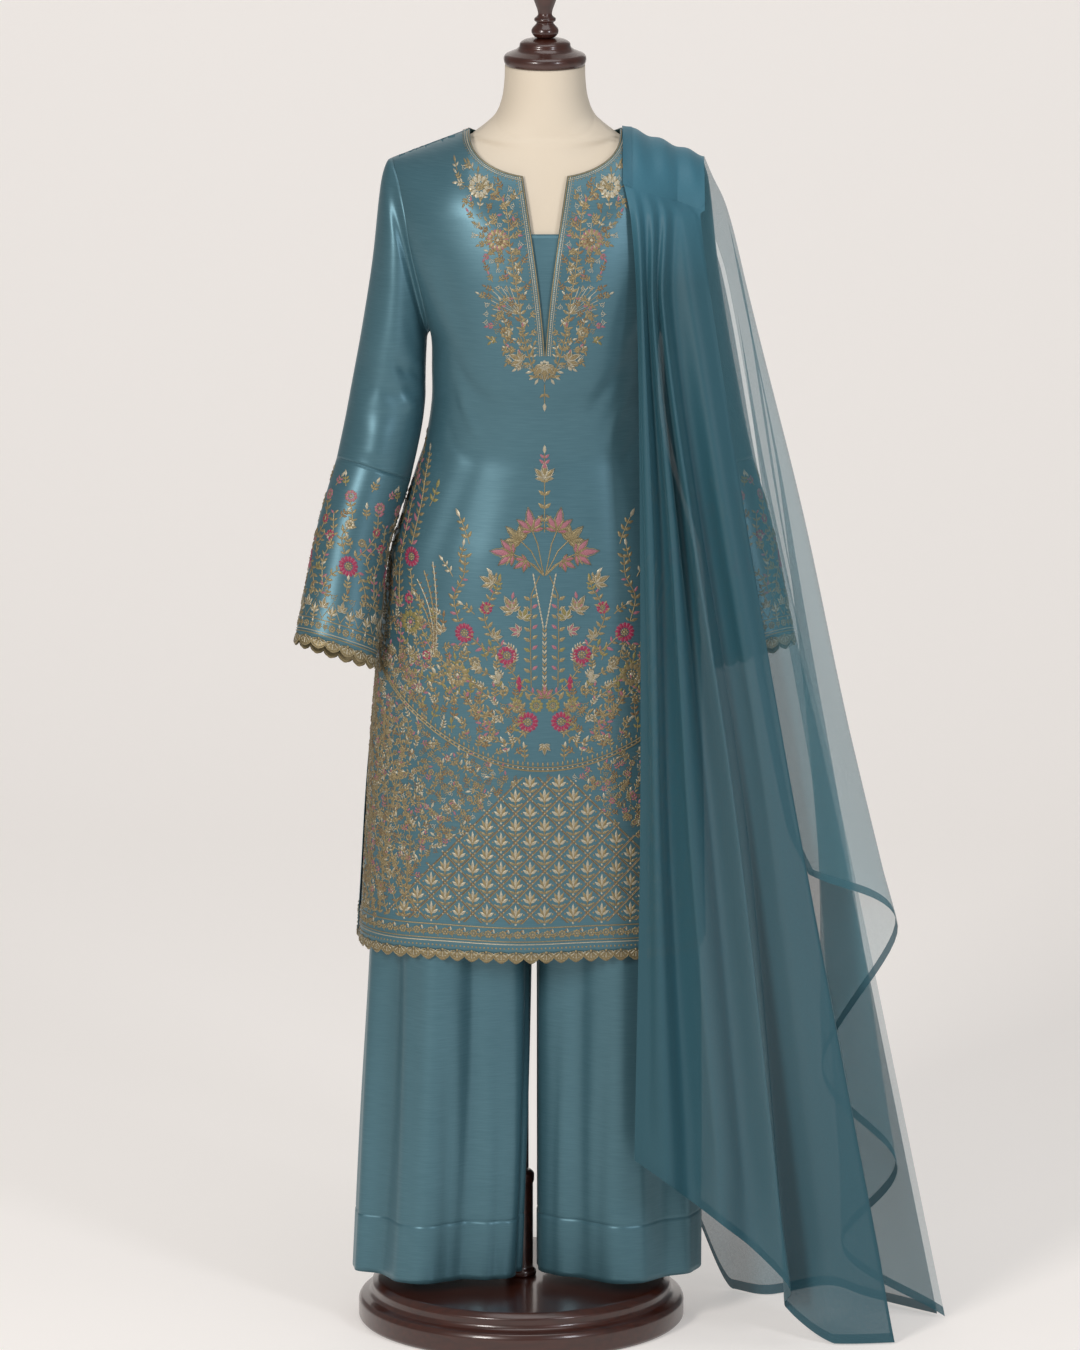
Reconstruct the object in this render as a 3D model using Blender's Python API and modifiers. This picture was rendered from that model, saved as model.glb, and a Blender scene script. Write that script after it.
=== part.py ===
"""Palazzo suit on a dress form: kameez, palazzo trousers and dupatta over a limbless form on a turned stand.

Metres, +Z up. The origin is the centre of the base's underside and the wearer faces -Y,
so the wearer's right is at -X. Every cloth panel is an open sheet with a wall thickness.
"""
import math

import bmesh
import bpy
import numpy as np
from mathutils import Vector

# Cloth walls and the gaps that keep neighbouring pieces apart
SILK_WALL = 0.0015
LACE_WALL = 0.0012
ORGANZA_WALL = 0.0010
SEAM_HALF_GAP = 0.0004
EDGE_GAP = 0.0005
ARMHOLE_GAP = 0.0013

# Kameez: hem, slit and neck
HEM_Z = 0.4855
LACE_DEPTH = 0.0060
LACE_BAND = 0.0055
SCALLOP = 0.0185
SCALLOP_STEPS = 2
HALF_GIRTH_SHARE = 0.79
CUFF_SCALLOPS = 15
CUFF_LACE_BAND = 0.0022
SLIT_BOTTOM_Z = 1.218
SLIT_TOP_Z = 1.4265
SLIT_HALF = 0.0264
NECK_Z = 1.470
NECK_HALF = 0.090
NECK_DROP = 0.0455
BACK_NECK_DROP = 0.018
UNDERARM_Z = 1.227
ARMHOLE_STEPS = 11
SHOULDER_Z = 1.4355
SHOULDER_DX = 0.182
RIDGE_SLOPE = (NECK_Z - SHOULDER_Z) / (SHOULDER_DX - NECK_HALF)
SHOULDER_Y = 0.010
SHOULDER_ROUND = 0.085
SHOULDER_ROUND_DX = 0.120
ARMHOLE_TURN = math.radians(25)
TIP_GAP = 0.0007
CHEST_ROUND = 0.150
BACK_ROUND = 0.120
SECTION_POWER = 2.25

# Side slits: where they start, and how far each edge stands off
SIDE_SLIT_Z = 0.76
SIDE_SLIT_FULL_Z = 0.60
FRONT_EDGE_OFF = 0.005
BACK_EDGE_OFF = 0.008
BACK_EDGE_WIDER = 0.003

# Long soft flutes of the skirt
FLUTE_Z = 0.98
FLUTE_DEPTH = 0.0045
FLUTE_WAVES = 7.0
FLUTE_LEAN = 0.6

# Trousers, waistband and form stand inside the kameez by these
TROUSER_INSET = 0.0045
TROUSER_TOP_FROM_Z = 1.022
WAISTBAND_LEVELS = (1.062, 1.080, 1.098)
WAISTBAND_BOTTOM_Z = WAISTBAND_LEVELS[0]
FORM_INSET = 0.009
FORM_SHOULDER_DROP = 0.0022
CHEST_INSET = 0.006
TROUSER_HEM_Z = 0.066
CROTCH_Z = 0.740
RISE_Z = 0.860
LEG_SEAM_X = 0.0163
LEG_FLUTE = 0.006
INSEAM_OPEN_Z = 0.44
INSEAM_WIDE_Z = 0.24
INSEAM_SPREAD = 0.030

# Dupatta
DUPATTA_LIFT = 0.005
DUPATTA_PLEAT = 0.0016
SHOULDER_REACH = math.radians(66)
SHOULDER_INNER_X = 0.1215
SHOULDER_OUTER_X = 0.2165
SHOULDER_FULL_DX = 0.158
SIDE_START = 0.003
BUST_Z = 1.28
CAP_Z = 1.38
WAIST_Z = 1.02
KNEE_Z = 0.65
FLOOR_Z = 0.0020
ROWS_TO_SHOULDER = 0.2

# Stand
BASE_R = 0.199
BASE_TOP_R = 0.183
BASE_H = 0.052
LOWER_POLE_R = 0.0145
LOWER_POLE_TOP_Z = 0.186
UPPER_POLE_R = 0.0092
FORM_BOTTOM_Z = 0.864
FORM_TOP_Z = 1.5475
CONTACT_GAP = 0.0003
FORM_SIDES = 32

# The waistband's wall lies against the form
WAISTBAND_INSET = FORM_INSET - SILK_WALL - CONTACT_GAP

# Kameez sections: height, centre x, half width, depth in front, depth behind
BODY = (
    (0.474, 0.0120, 0.2090, 0.116, 0.119),
    (0.600, 0.0150, 0.2045, 0.115, 0.118),
    (0.710, 0.0175, 0.2015, 0.114, 0.116),
    (0.846, 0.0220, 0.1940, 0.112, 0.114),
    (0.916, 0.0240, 0.1880, 0.110, 0.112),
    (0.965, 0.0255, 0.1815, 0.107, 0.109),
    (1.003, 0.0270, 0.1710, 0.103, 0.104),
    (1.063, 0.0275, 0.1525, 0.097, 0.093),
    (1.092, 0.0285, 0.1440, 0.095, 0.089),
    (1.140, 0.0290, 0.1365, 0.100, 0.089),
    (1.180, 0.0290, 0.1360, 0.113, 0.093),
    (1.227, 0.0290, 0.1380, 0.125, 0.098),
    (1.278, 0.0290, 0.1570, 0.126, 0.101),
    (1.337, 0.0290, 0.1720, 0.120, 0.101),
    (1.401, 0.0290, 0.1830, 0.108, 0.098),
    (1.475, 0.0290, 0.1900, 0.098, 0.092),
)

# Armhole seam: height, distance from the body's centre line
ARMHOLE = (
    (1.2270, 0.1380),
    (1.2780, 0.1480),
    (1.3370, 0.1610),
    (1.4010, 0.1720),
    (1.4355, 0.1820),
)

# Sleeve rings: outer dx, outer z, inner dx, inner z, middle y, half depth, tilt in degrees.
# dx is the distance from the body's centre line. The last of the first rows is the cuff panel's seam.
SLEEVE = (
    (0.1890, 1.4320, 0.1410, 1.2210, 0.003, 0.0510, 0.0),
    (0.1965, 1.4070, 0.1420, 1.2090, 0.002, 0.0540, 0.0),
    (0.2075, 1.3120, 0.1430, 1.1880, 0.000, 0.0550, 2.0),
    (0.2190, 1.2380, 0.1435, 1.1660, -0.001, 0.0545, 4.0),
    (0.2320, 1.1660, 0.1440, 1.1415, -0.003, 0.0535, 7.0),
    (0.2405, 1.1200, 0.1490, 1.1050, -0.007, 0.0525, 9.0),
    (0.2505, 1.0740, 0.1620, 1.0460, -0.014, 0.0515, 12.0),
)
CUFF_PANEL = (
    (0.2507, 1.0733, 0.1622, 1.0453, -0.0142, 0.0514, 12.0),
    (0.2740, 0.9940, 0.1870, 0.9680, -0.036, 0.0460, 15.0),
    (0.2880, 0.9250, 0.1960, 0.8980, -0.055, 0.0410, 17.0),
    (0.2998, 0.8680, 0.2030, 0.8375, -0.073, 0.0370, 18.0),
)

# Trouser legs: height, wearer's right leg outer and inner x, left leg inner and outer x, depth in front, behind
LEGS = (
    (0.066, -0.2060, 0.0009, 0.0193, 0.2200, 0.083, 0.083),
    (0.250, -0.1970, 0.0080, 0.0191, 0.2205, 0.083, 0.083),
    (0.448, -0.1850, 0.0130, 0.0189, 0.2180, 0.084, 0.084),
    (0.600, -0.1780, 0.0148, 0.0179, 0.2100, 0.085, 0.086),
    (0.740, -0.1710, 0.0156, 0.0170, 0.2080, 0.087, 0.088),
    (0.900, -0.1600, 0.0156, 0.0170, 0.2000, 0.090, 0.092),
)

# Dress form: height, half width, and the neck's half width and depth in front and behind
FORM = (
    (0.864, 0.181, 0.010, 0.010, 0.010),
    (0.916, 0.178, 0.010, 0.010, 0.010),
    (0.965, 0.172, 0.010, 0.010, 0.010),
    (1.003, 0.161, 0.010, 0.010, 0.010),
    (1.063, 0.143, 0.010, 0.010, 0.010),
    (1.092, 0.134, 0.010, 0.010, 0.010),
    (1.140, 0.127, 0.010, 0.010, 0.010),
    (1.200, 0.127, 0.010, 0.010, 0.010),
    (1.260, 0.133, 0.010, 0.010, 0.010),
    (1.320, 0.147, 0.010, 0.010, 0.010),
    (1.380, 0.162, 0.060, 0.030, 0.024),
    (1.412, 0.173, 0.075, 0.051, 0.036),
    (1.425, 0.176, 0.078, 0.056, 0.038),
    (1.440, 0.1641, 0.078, 0.059, 0.040),
    (1.455, 0.1241, 0.078, 0.060, 0.041),
    (1.464, 0.088, 0.088, 0.0595, 0.042),
    (1.485, 0.062, 0.062, 0.058, 0.042),
    (1.506, 0.0520, 0.0520, 0.056, 0.0425),
    (1.530, 0.0485, 0.0485, 0.054, 0.0425),
    (1.5475, 0.0480, 0.0480, 0.053, 0.043),
)

# Folds of the dupatta's front fall, from the inner selvedge outwards: x at the shoulder, then x and y at the
# shoulder cap, bust, waist and knee, then the hem's x, y and z
FRONT_FOLDS = (
    (0.123, 0.131, -0.108, 0.138, -0.119, 0.142, -0.135, 0.143, -0.150, 0.137, -0.150, 0.236),
    (0.134, 0.140, -0.113, 0.145, -0.128, 0.156, -0.148, 0.163, -0.168, 0.177, -0.170, 0.212),
    (0.142, 0.148, -0.104, 0.151, -0.118, 0.167, -0.133, 0.178, -0.148, 0.207, -0.150, 0.184),
    (0.151, 0.157, -0.105, 0.157, -0.127, 0.179, -0.147, 0.201, -0.170, 0.243, -0.176, 0.162),
    (0.160, 0.165, -0.095, 0.163, -0.116, 0.191, -0.131, 0.229, -0.148, 0.279, -0.152, 0.127),
    (0.168, 0.173, -0.095, 0.170, -0.122, 0.204, -0.153, 0.260, -0.180, 0.325, -0.168, 0.081),
    (0.177, 0.182, -0.084, 0.181, -0.104, 0.214, -0.127, 0.269, -0.142, 0.323, -0.104, 0.038),
    (0.187, 0.193, -0.080, 0.203, -0.106, 0.240, -0.143, 0.296, -0.162, 0.380, -0.134, 0.002),
    (0.197, 0.206, -0.072, 0.223, -0.096, 0.266, -0.134, 0.328, -0.154, 0.448, -0.130, 0.002),
)

# Folds of the cascade at the side, from the front selvedge round to the back. The first column is the angle in
# degrees over the shoulder and the others are as in the front fall.
SIDE_FOLDS = (
    (-62, 0.210, -0.064, 0.206, -0.080, 0.250, -0.115, 0.318, -0.134, 0.346, -0.130, 0.586),
    (-27, 0.243, -0.030, 0.269, -0.044, 0.331, -0.074, 0.423, -0.098, 0.455, -0.104, 0.516),
    (-8, 0.243, -0.002, 0.264, -0.006, 0.316, -0.030, 0.358, -0.046, 0.366, -0.054, 0.324),
    (12, 0.240, 0.020, 0.267, 0.024, 0.312, 0.010, 0.383, -0.016, 0.459, -0.036, 0.198),
    (35, 0.230, 0.046, 0.256, 0.056, 0.297, 0.056, 0.352, 0.040, 0.394, 0.014, 0.079),
    (58, 0.216, 0.068, 0.248, 0.084, 0.296, 0.096, 0.383, 0.086, 0.519, -0.013, 0.002),
)

# Folds of the back fall, from the side round to the inner selvedge, with the same columns as the front fall
BACK_FOLDS = (
    (0.197, 0.208, 0.072, 0.243, 0.092, 0.291, 0.101, 0.376, 0.096, 0.510, 0.000, 0.002),
    (0.185, 0.196, 0.076, 0.228, 0.098, 0.268, 0.108, 0.325, 0.105, 0.430, 0.075, 0.002),
    (0.170, 0.181, 0.092, 0.208, 0.112, 0.240, 0.126, 0.285, 0.142, 0.380, 0.130, 0.002),
    (0.154, 0.165, 0.092, 0.187, 0.108, 0.210, 0.120, 0.250, 0.128, 0.305, 0.088, 0.002),
    (0.139, 0.148, 0.102, 0.164, 0.116, 0.180, 0.132, 0.210, 0.152, 0.258, 0.116, 0.004),
    (0.123, 0.132, 0.102, 0.142, 0.112, 0.152, 0.124, 0.178, 0.142, 0.214, 0.118, 0.100),
)

# Colours, linear
SILK = (0.080, 0.215, 0.262)
ORGANZA = (0.045, 0.145, 0.180)
GOLD_LACE = (0.480, 0.385, 0.235)
CANVAS = (0.790, 0.690, 0.545)
WOOD = (0.042, 0.011, 0.006)


def clear_scene():
    """Removes whatever the scene holds."""
    for item in list(bpy.data.objects):
        bpy.data.objects.remove(item, do_unlink=True)


def make_material(name, color, roughness):
    """Makes a material of one colour."""
    material = bpy.data.materials.new(name)
    material.use_nodes = True
    shader = material.node_tree.nodes["Principled BSDF"]
    shader.inputs["Base Color"].default_value = (*color, 1.0)
    shader.inputs["Roughness"].default_value = roughness
    return material


def smooth_row(table, key):
    """Reads a table at a value of its first column, on a smooth curve through its rows."""
    rows = np.array(table)
    keys = rows[:, 0]
    key = min(max(key, keys[0]), keys[-1])
    low = min(int(np.searchsorted(keys, key, side="right")) - 1, len(keys) - 2)
    step = keys[low + 1] - keys[low]
    t = (key - keys[low]) / step

    def slope(row):
        before = max(row - 1, 0)
        after = min(row + 1, len(keys) - 1)
        return (rows[after] - rows[before]) / (keys[after] - keys[before]) * step

    value = (
        (2 * t**3 - 3 * t**2 + 1) * rows[low]
        + (t**3 - 2 * t**2 + t) * slope(low)
        + (3 * t**2 - 2 * t**3) * rows[low + 1]
        + (t**3 - t**2) * slope(low + 1)
    )
    return value[1:]


def lerp(a, b, t):
    return a + (b - a) * t


def ramp(value, start, end):
    """Goes smoothly from 0 at start to 1 at end."""
    t = min(max((value - start) / (end - start), 0.0), 1.0)
    return t * t * (3 - 2 * t)


def add_wall(name, grids, thickness, material, centre=None, offset=-1.0, wrap=False):
    """Makes one sheet from grids of points and gives it its thickness.

    Grids that share points along an edge are joined there. centre(z) is a point inside the garment at that
    height, so that the wall thickens inwards. wrap closes each row on itself.
    """
    mesh_data = bmesh.new()
    for grid in grids:
        rows = [[mesh_data.verts.new(point) for point in row] for row in grid]
        for below, above in zip(rows, rows[1:]):
            count = len(below)
            for i in range(count if wrap else count - 1):
                j = (i + 1) % count
                mesh_data.faces.new((below[i], below[j], above[j], above[i]))
    bmesh.ops.remove_doubles(mesh_data, verts=mesh_data.verts, dist=1e-6)
    bmesh.ops.triangulate(mesh_data, faces=mesh_data.faces, quad_method="SHORT_EDGE")
    bmesh.ops.recalc_face_normals(mesh_data, faces=mesh_data.faces)
    if centre is not None:
        facing = 0.0
        for face in mesh_data.faces:
            middle = face.calc_center_median()
            facing += face.calc_area() * face.normal.dot(middle - centre(middle.z))
        if facing < 0:
            bmesh.ops.reverse_faces(mesh_data, faces=mesh_data.faces)
    mesh = bpy.data.meshes.new(name)
    mesh_data.to_mesh(mesh)
    mesh_data.free()
    mesh.shade_smooth()
    sheet = place(name, mesh, material)
    wall = sheet.modifiers.new("Wall", "SOLIDIFY")
    wall.thickness = thickness
    wall.offset = offset
    return sheet


def place(name, mesh, material):
    """Puts a mesh in the part's collection as an object with its material."""
    item = bpy.data.objects.new(name, mesh)
    item.data.materials.append(material)
    PARTS.objects.link(item)
    return item


def add_turned(name, profile, material, steps):
    """Turns a profile, listed from top to bottom on its outer side, about the Z axis."""
    mesh = bpy.data.meshes.new(name)
    mesh.from_pydata([(r, 0, z) for r, z in profile], [(i, i + 1) for i in range(len(profile) - 1)], [])
    item = place(name, mesh, material)
    turn = item.modifiers.new("Turn", "SCREW")
    turn.steps = steps
    turn.render_steps = steps
    turn.use_merge_vertices = True
    turn.merge_threshold = 0.0001
    turn.use_smooth_shade = True
    return item


def torso_axis(z):
    """A point on the garment's own middle line."""
    return Vector((smooth_row(BODY, z)[0], 0.0, z))


def armhole_dx(z):
    """Distance of the armhole seam from the centre line."""
    return float(smooth_row(ARMHOLE, z)[0])


def section(z, inset=0.0):
    """Centre x, half width, front depth and back depth of the garment at a height.

    Above the underarm the half width is worked out so that the armhole seam lies where the section turns back.
    """
    centre_x, half, front, back = smooth_row(BODY, z)
    if z > UNDERARM_Z:
        middle, reach = (SHOULDER_Z + UNDERARM_Z) / 2, (SHOULDER_Z - UNDERARM_Z) / 2
        height = min(max((z - middle) / reach, -1.0), 0.0)
        turn = math.pi / 2 - ARMHOLE_TURN * math.sqrt(1.0 - height * height)
        half = armhole_dx(z) / math.sin(turn) ** (2 / SECTION_POWER)
    return centre_x, half - inset, front - inset, back - inset


def ridge_height(dx):
    """Height of the shoulder seam at a distance from the centre line."""
    return NECK_Z - RIDGE_SLOPE * max(abs(dx) - NECK_HALF, 0.0)


def round_height(dx, facing):
    """How far below the shoulder seam the surface reaches its full depth."""
    chest = CHEST_ROUND if facing < 0 else BACK_ROUND
    return lerp(chest, SHOULDER_ROUND, ramp(abs(dx), 0.0, SHOULDER_ROUND_DX))


def depth_share(share):
    """Depth of the section, as a share of its full depth, at a share of its half width."""
    return max(1.0 - min(abs(share), 1.0) ** SECTION_POWER, 0.0) ** (1.0 / SECTION_POWER)


def surface_y(dx, z, facing, inset=0.0):
    """Front (facing -1) or back (facing 1) surface of the kameez."""
    _, half, front, back = section(z, inset)
    full = front if facing < 0 else back
    u = min(max((ridge_height(dx) - z) / round_height(dx, facing), 0.0), 1.0)
    taper = math.sqrt(1.0 - (1.0 - u) ** 2)
    return SHOULDER_Y * (1.0 - taper) + facing * full * depth_share(dx / half) * taper


def to_angle(dx, half):
    """Angle round the section, 0 at the centre and 90 degrees at the side, of a point dx from the centre."""
    share = min(abs(dx) / half, 1.0)
    return math.asin(share ** (SECTION_POWER / 2))


def from_angle(angle, half):
    return half * math.sin(angle) ** (2 / SECTION_POWER)


def kameez_point(dx, z, side, facing):
    """A point of the kameez's front or back, with its flutes and its side slits' edges."""
    centre_x, half, _, _ = section(z)
    open_side = 1.0 - ramp(z, SIDE_SLIT_FULL_Z, SIDE_SLIT_Z)
    share = min(dx / half, 1.0)
    fluting = FLUTE_DEPTH * (1.0 - ramp(z, HEM_Z, FLUTE_Z)) * (1.0 - share**4)
    y = surface_y(dx, z, facing) + facing * fluting * math.cos(FLUTE_WAVES * share + FLUTE_LEAN * side)
    y += facing * (SEAM_HALF_GAP + TIP_GAP * ramp(z, UNDERARM_Z, SHOULDER_Z))
    if facing < 0:
        y -= FRONT_EDGE_OFF * open_side
    else:
        y += BACK_EDGE_OFF * open_side
        dx += BACK_EDGE_WIDER * open_side * share
    return Vector((centre_x + side * dx, y, z))


def kameez_row(inner, outer, side, facing, columns):
    """One row of points from an inner (dx, z) to an outer (dx, z)."""
    start = to_angle(inner[0], section(inner[1])[1])
    end = to_angle(outer[0], section(outer[1])[1])
    row = []
    for i in range(columns + 1):
        share = i / columns
        z = lerp(inner[1], outer[1], share)
        dx = from_angle(lerp(start, end, share), section(z)[1])
        if i == 0:
            dx = inner[0]
        if i == columns:
            dx = outer[0]
        z = min(z, ridge_height(dx))
        row.append(kameez_point(dx, z, side, facing))
    return row


def kameez_half(side, facing, columns, low_rows):
    """Half of the front or back, from hem to shoulder seam. Its armhole edge has the sleeve's own points."""
    grid = []
    for i in range(low_rows + 1):
        inner_z = lerp(HEM_Z, SLIT_BOTTOM_Z, i / low_rows)
        outer_z = lerp(HEM_Z, UNDERARM_Z, i / low_rows)
        grid.append(kameez_row((0.0, inner_z), (section(outer_z)[1], outer_z), side, facing, columns))
    start = math.asin(SLIT_HALF / NECK_HALF) if facing < 0 else 0.0
    drop = NECK_DROP if facing < 0 else BACK_NECK_DROP
    straight = ARMHOLE_STEPS // 2
    for i in range(1, ARMHOLE_STEPS + 1):
        outer_z = armhole_height(math.pi * (1.0 - i / ARMHOLE_STEPS))
        if i <= straight:
            t = i / straight
            top = SLIT_TOP_Z if facing < 0 else NECK_Z - drop
            inner = (SLIT_HALF * t**1.35 if facing < 0 else 0.0, lerp(SLIT_BOTTOM_Z, top, t))
        else:
            angle = lerp(start, math.pi / 2, (i - straight) / (ARMHOLE_STEPS - straight))
            inner = (NECK_HALF * math.sin(angle), NECK_Z - drop * math.cos(angle))
        grid.append(kameez_row(inner, (armhole_dx(outer_z), outer_z), side, facing, columns))
    return grid


def armhole_height(angle):
    """Height on the armhole seam: angle 0 is the shoulder tip, 180 degrees the underarm."""
    middle, reach = (SHOULDER_Z + UNDERARM_Z) / 2, (SHOULDER_Z - UNDERARM_Z) / 2
    return middle + reach * math.cos(angle)


def add_kameez_body(silk, lace):
    for name, facing, columns, low_rows in (("kameez_front", -1, 9, 15), ("kameez_back", 1, 9, 12)):
        halves = [kameez_half(side, facing, columns, low_rows) for side in (-1, 1)]
        add_wall(name, halves, SILK_WALL, silk, torso_axis)
    for name, facing in (("hem_edging_front", -1), ("hem_edging_back", 1)):
        add_wall(name, [hem_scallops(facing)], LACE_WALL, lace, torso_axis)


def hem_scallops(facing):
    """Two rows of points: the hem's line and the scalloped edge below it."""
    _, half, _, _ = section(HEM_Z)
    length = math.pi * half * HALF_GIRTH_SHARE
    count = SCALLOP_STEPS * round(length / SCALLOP)
    top, edge = [], []
    for i in range(count + 1):
        angle = lerp(-math.pi / 2, math.pi / 2, i / count)
        side = -1 if angle < 0 else 1
        dx = from_angle(abs(angle), half)
        z = HEM_Z - EDGE_GAP
        top.append(Vector((*kameez_point(dx, HEM_Z, side, facing).xy, z)))
        drop = LACE_BAND + (LACE_DEPTH if i % SCALLOP_STEPS else 0.0)
        edge.append(Vector((*kameez_point(dx, HEM_Z, side, facing).xy, z - drop)))
    return [edge, top]


def add_inset(silk):
    """The panel sewn behind the neck slit."""
    half_width, low, high, inset = 0.034, 1.188, 1.362, 0.0030
    columns, rows = 6, 5
    grid = []
    for j in range(rows + 1):
        z = lerp(low, high, j / rows)
        row = []
        for i in range(columns + 1):
            dx = lerp(-half_width, half_width, i / columns)
            row.append(Vector((section(z)[0] + dx, surface_y(dx, z, -1) + inset, z)))
        grid.append(row)
    add_wall("inset_panel", [grid], LACE_WALL, silk, torso_axis)


def ring_point(ring, angle, side):
    """A point of a sleeve's ring: angle 0 is its outer side, 90 degrees its front."""
    outer_dx, outer_z, inner_dx, inner_z, middle_y, half_depth, tilt = ring
    tilt = math.radians(tilt)
    dx = (outer_dx + inner_dx) / 2 + (outer_dx - inner_dx) / 2 * math.cos(angle)
    z = (outer_z + inner_z) / 2 + (outer_z - inner_z) / 2 * math.cos(angle)
    y = middle_y - half_depth * math.cos(tilt) * math.sin(angle)
    z += half_depth * math.sin(tilt) * math.sin(angle)
    return Vector((BODY[-1][1] + side * dx, y, z))


def armhole_point(angle, side):
    """A point just outside the armhole seam: angle 0 is the shoulder tip, 180 degrees the underarm."""
    z = armhole_height(angle)
    facing = -1 if math.sin(angle) >= 0 else 1
    dx = armhole_dx(z)
    y = surface_y(dx, z, facing)
    return Vector((BODY[-1][1] + side * (dx + ARMHOLE_GAP), y, z))


def add_sleeve(name, side, silk, lace):
    """A sleeve from its armhole to the cuff panel's seam, the cuff panel and its scalloped edging."""
    columns = 2 * ARMHOLE_STEPS
    angles = [2 * math.pi * i / columns for i in range(columns)]
    rings = [[armhole_point(angle, side) for angle in angles]]
    rings += [[ring_point(ring, angle, side) for angle in angles] for ring in SLEEVE]
    add_tube(f"sleeve_{name}", rings, SILK_WALL, silk)
    cuff = [[ring_point(ring, angle, side) for angle in angles] for ring in CUFF_PANEL]
    add_tube(f"cuff_panel_{name}", cuff, SILK_WALL, silk)
    last, before = CUFF_PANEL[-1], CUFF_PANEL[-2]
    along = (ring_point(last, 0, side) - ring_point(before, 0, side)).normalized()
    top, edge = [], []
    count = SCALLOP_STEPS * CUFF_SCALLOPS
    for i in range(count):
        point = ring_point(last, 2 * math.pi * i / count, side)
        drop = CUFF_LACE_BAND + (LACE_DEPTH if i % SCALLOP_STEPS else 0.0)
        top.append(point + along * EDGE_GAP)
        edge.append(point + along * (EDGE_GAP + drop))
    add_tube(f"cuff_edging_{name}", [top, edge], LACE_WALL, lace)


def add_tube(name, rings, thickness, material):
    """A wall closed round its rings, thickened inwards."""
    levels = [sum(ring, Vector()) / len(ring) for ring in rings]

    def centre(z):
        nearest = min(range(len(levels)), key=lambda k: abs(levels[k].z - z))
        return levels[nearest]

    add_wall(name, [rings], thickness, material, centre, wrap=True)


def leg_point(z, share, leg, facing):
    """A point of a trouser leg: share 0 is its inner seam, 1 its outer seam; leg -1 is the wearer's right."""
    right_outer, right_inner, left_inner, left_outer, front, back = smooth_row(LEGS, z)
    inner, outer = (right_inner, right_outer) if leg < 0 else (left_inner, left_outer)
    angle = math.pi * share
    depth = front if facing < 0 else back
    flute = LEG_FLUTE * (1.0 - ramp(z, 0.30, 0.80)) * math.sin(3.0 * angle) * math.sin(angle)
    x = (inner + outer) / 2 - (outer - inner) / 2 * math.cos(angle)
    y = facing * (depth * math.sin(angle) - flute)
    if leg < 0 and share < 0.5:
        y += facing * INSEAM_SPREAD * (1.0 - ramp(z, INSEAM_WIDE_Z, INSEAM_OPEN_Z)) * (1.0 - math.sin(angle))
    return Vector((x, y + facing * SEAM_HALF_GAP, z))


def hip_point(z, share, leg, facing):
    """A point of the trousers where they lie on the hips: share 0 is the centre seam, 1 the side seam."""
    inset = lerp(TROUSER_INSET, WAISTBAND_INSET, ramp(z, TROUSER_TOP_FROM_Z, WAISTBAND_BOTTOM_Z))
    centre_x, half, front, back = section(z, inset)
    angle = share * math.pi / 2
    dx = from_angle(angle, half)
    depth = (front if facing < 0 else back) * depth_share(dx / half)
    seam_x = lerp(LEG_SEAM_X, centre_x, ramp(z, CROTCH_Z, WAISTBAND_BOTTOM_Z))
    x = seam_x + leg * lerp(2 * SEAM_HALF_GAP, 0.0, share) + leg * dx + (centre_x - seam_x) * share
    return Vector((x, facing * (depth + SEAM_HALF_GAP), z))


def trouser_point(z, share, leg, facing):
    weight = ramp(z, CROTCH_Z, RISE_Z)
    if weight == 0.0:
        return leg_point(z, share, leg, facing)
    return leg_point(z, share, leg, facing).lerp(hip_point(z, share, leg, facing), weight)


def add_trousers(silk):
    columns = FORM_SIDES // 4
    heights = [lerp(TROUSER_HEM_Z, CROTCH_Z, i / 8) for i in range(9)]
    heights += [lerp(CROTCH_Z, RISE_Z, i / 4) for i in range(1, 5)]
    top = WAISTBAND_BOTTOM_Z - EDGE_GAP
    heights += [lerp(RISE_Z, top, i / 5) for i in range(1, 6)]
    for leg_name, leg in (("right", -1), ("left", 1)):
        for face_name, facing in (("front", -1), ("back", 1)):
            grid = [[trouser_point(z, i / columns, leg, facing) for i in range(columns + 1)] for z in heights]
            add_wall(f"trouser_{leg_name}_{face_name}", [grid], SILK_WALL, silk, trouser_axis(leg))
    rings = []
    for z in WAISTBAND_LEVELS:
        centre_x, half, front, back = section(z, WAISTBAND_INSET)
        ring = []
        for i in range(FORM_SIDES):
            angle = 2 * math.pi * i / FORM_SIDES
            side = 1 if math.sin(angle) >= 0 else -1
            dx = from_angle(math.asin(min(abs(math.sin(angle)), 1.0)), half)
            depth = front if math.cos(angle) < 0 else back
            facing = -1 if math.cos(angle) < 0 else 1
            ring.append(Vector((centre_x + side * dx, facing * depth * depth_share(dx / half), z)))
        rings.append(ring)
    add_tube("waistband", rings, SILK_WALL, silk)


def trouser_axis(leg):
    def centre(z):
        right_outer, right_inner, left_inner, left_outer, _, _ = smooth_row(LEGS, z)
        middle = (right_outer + right_inner) / 2 if leg < 0 else (left_inner + left_outer) / 2
        return Vector((middle, 0.0, z))
    return centre


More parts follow.
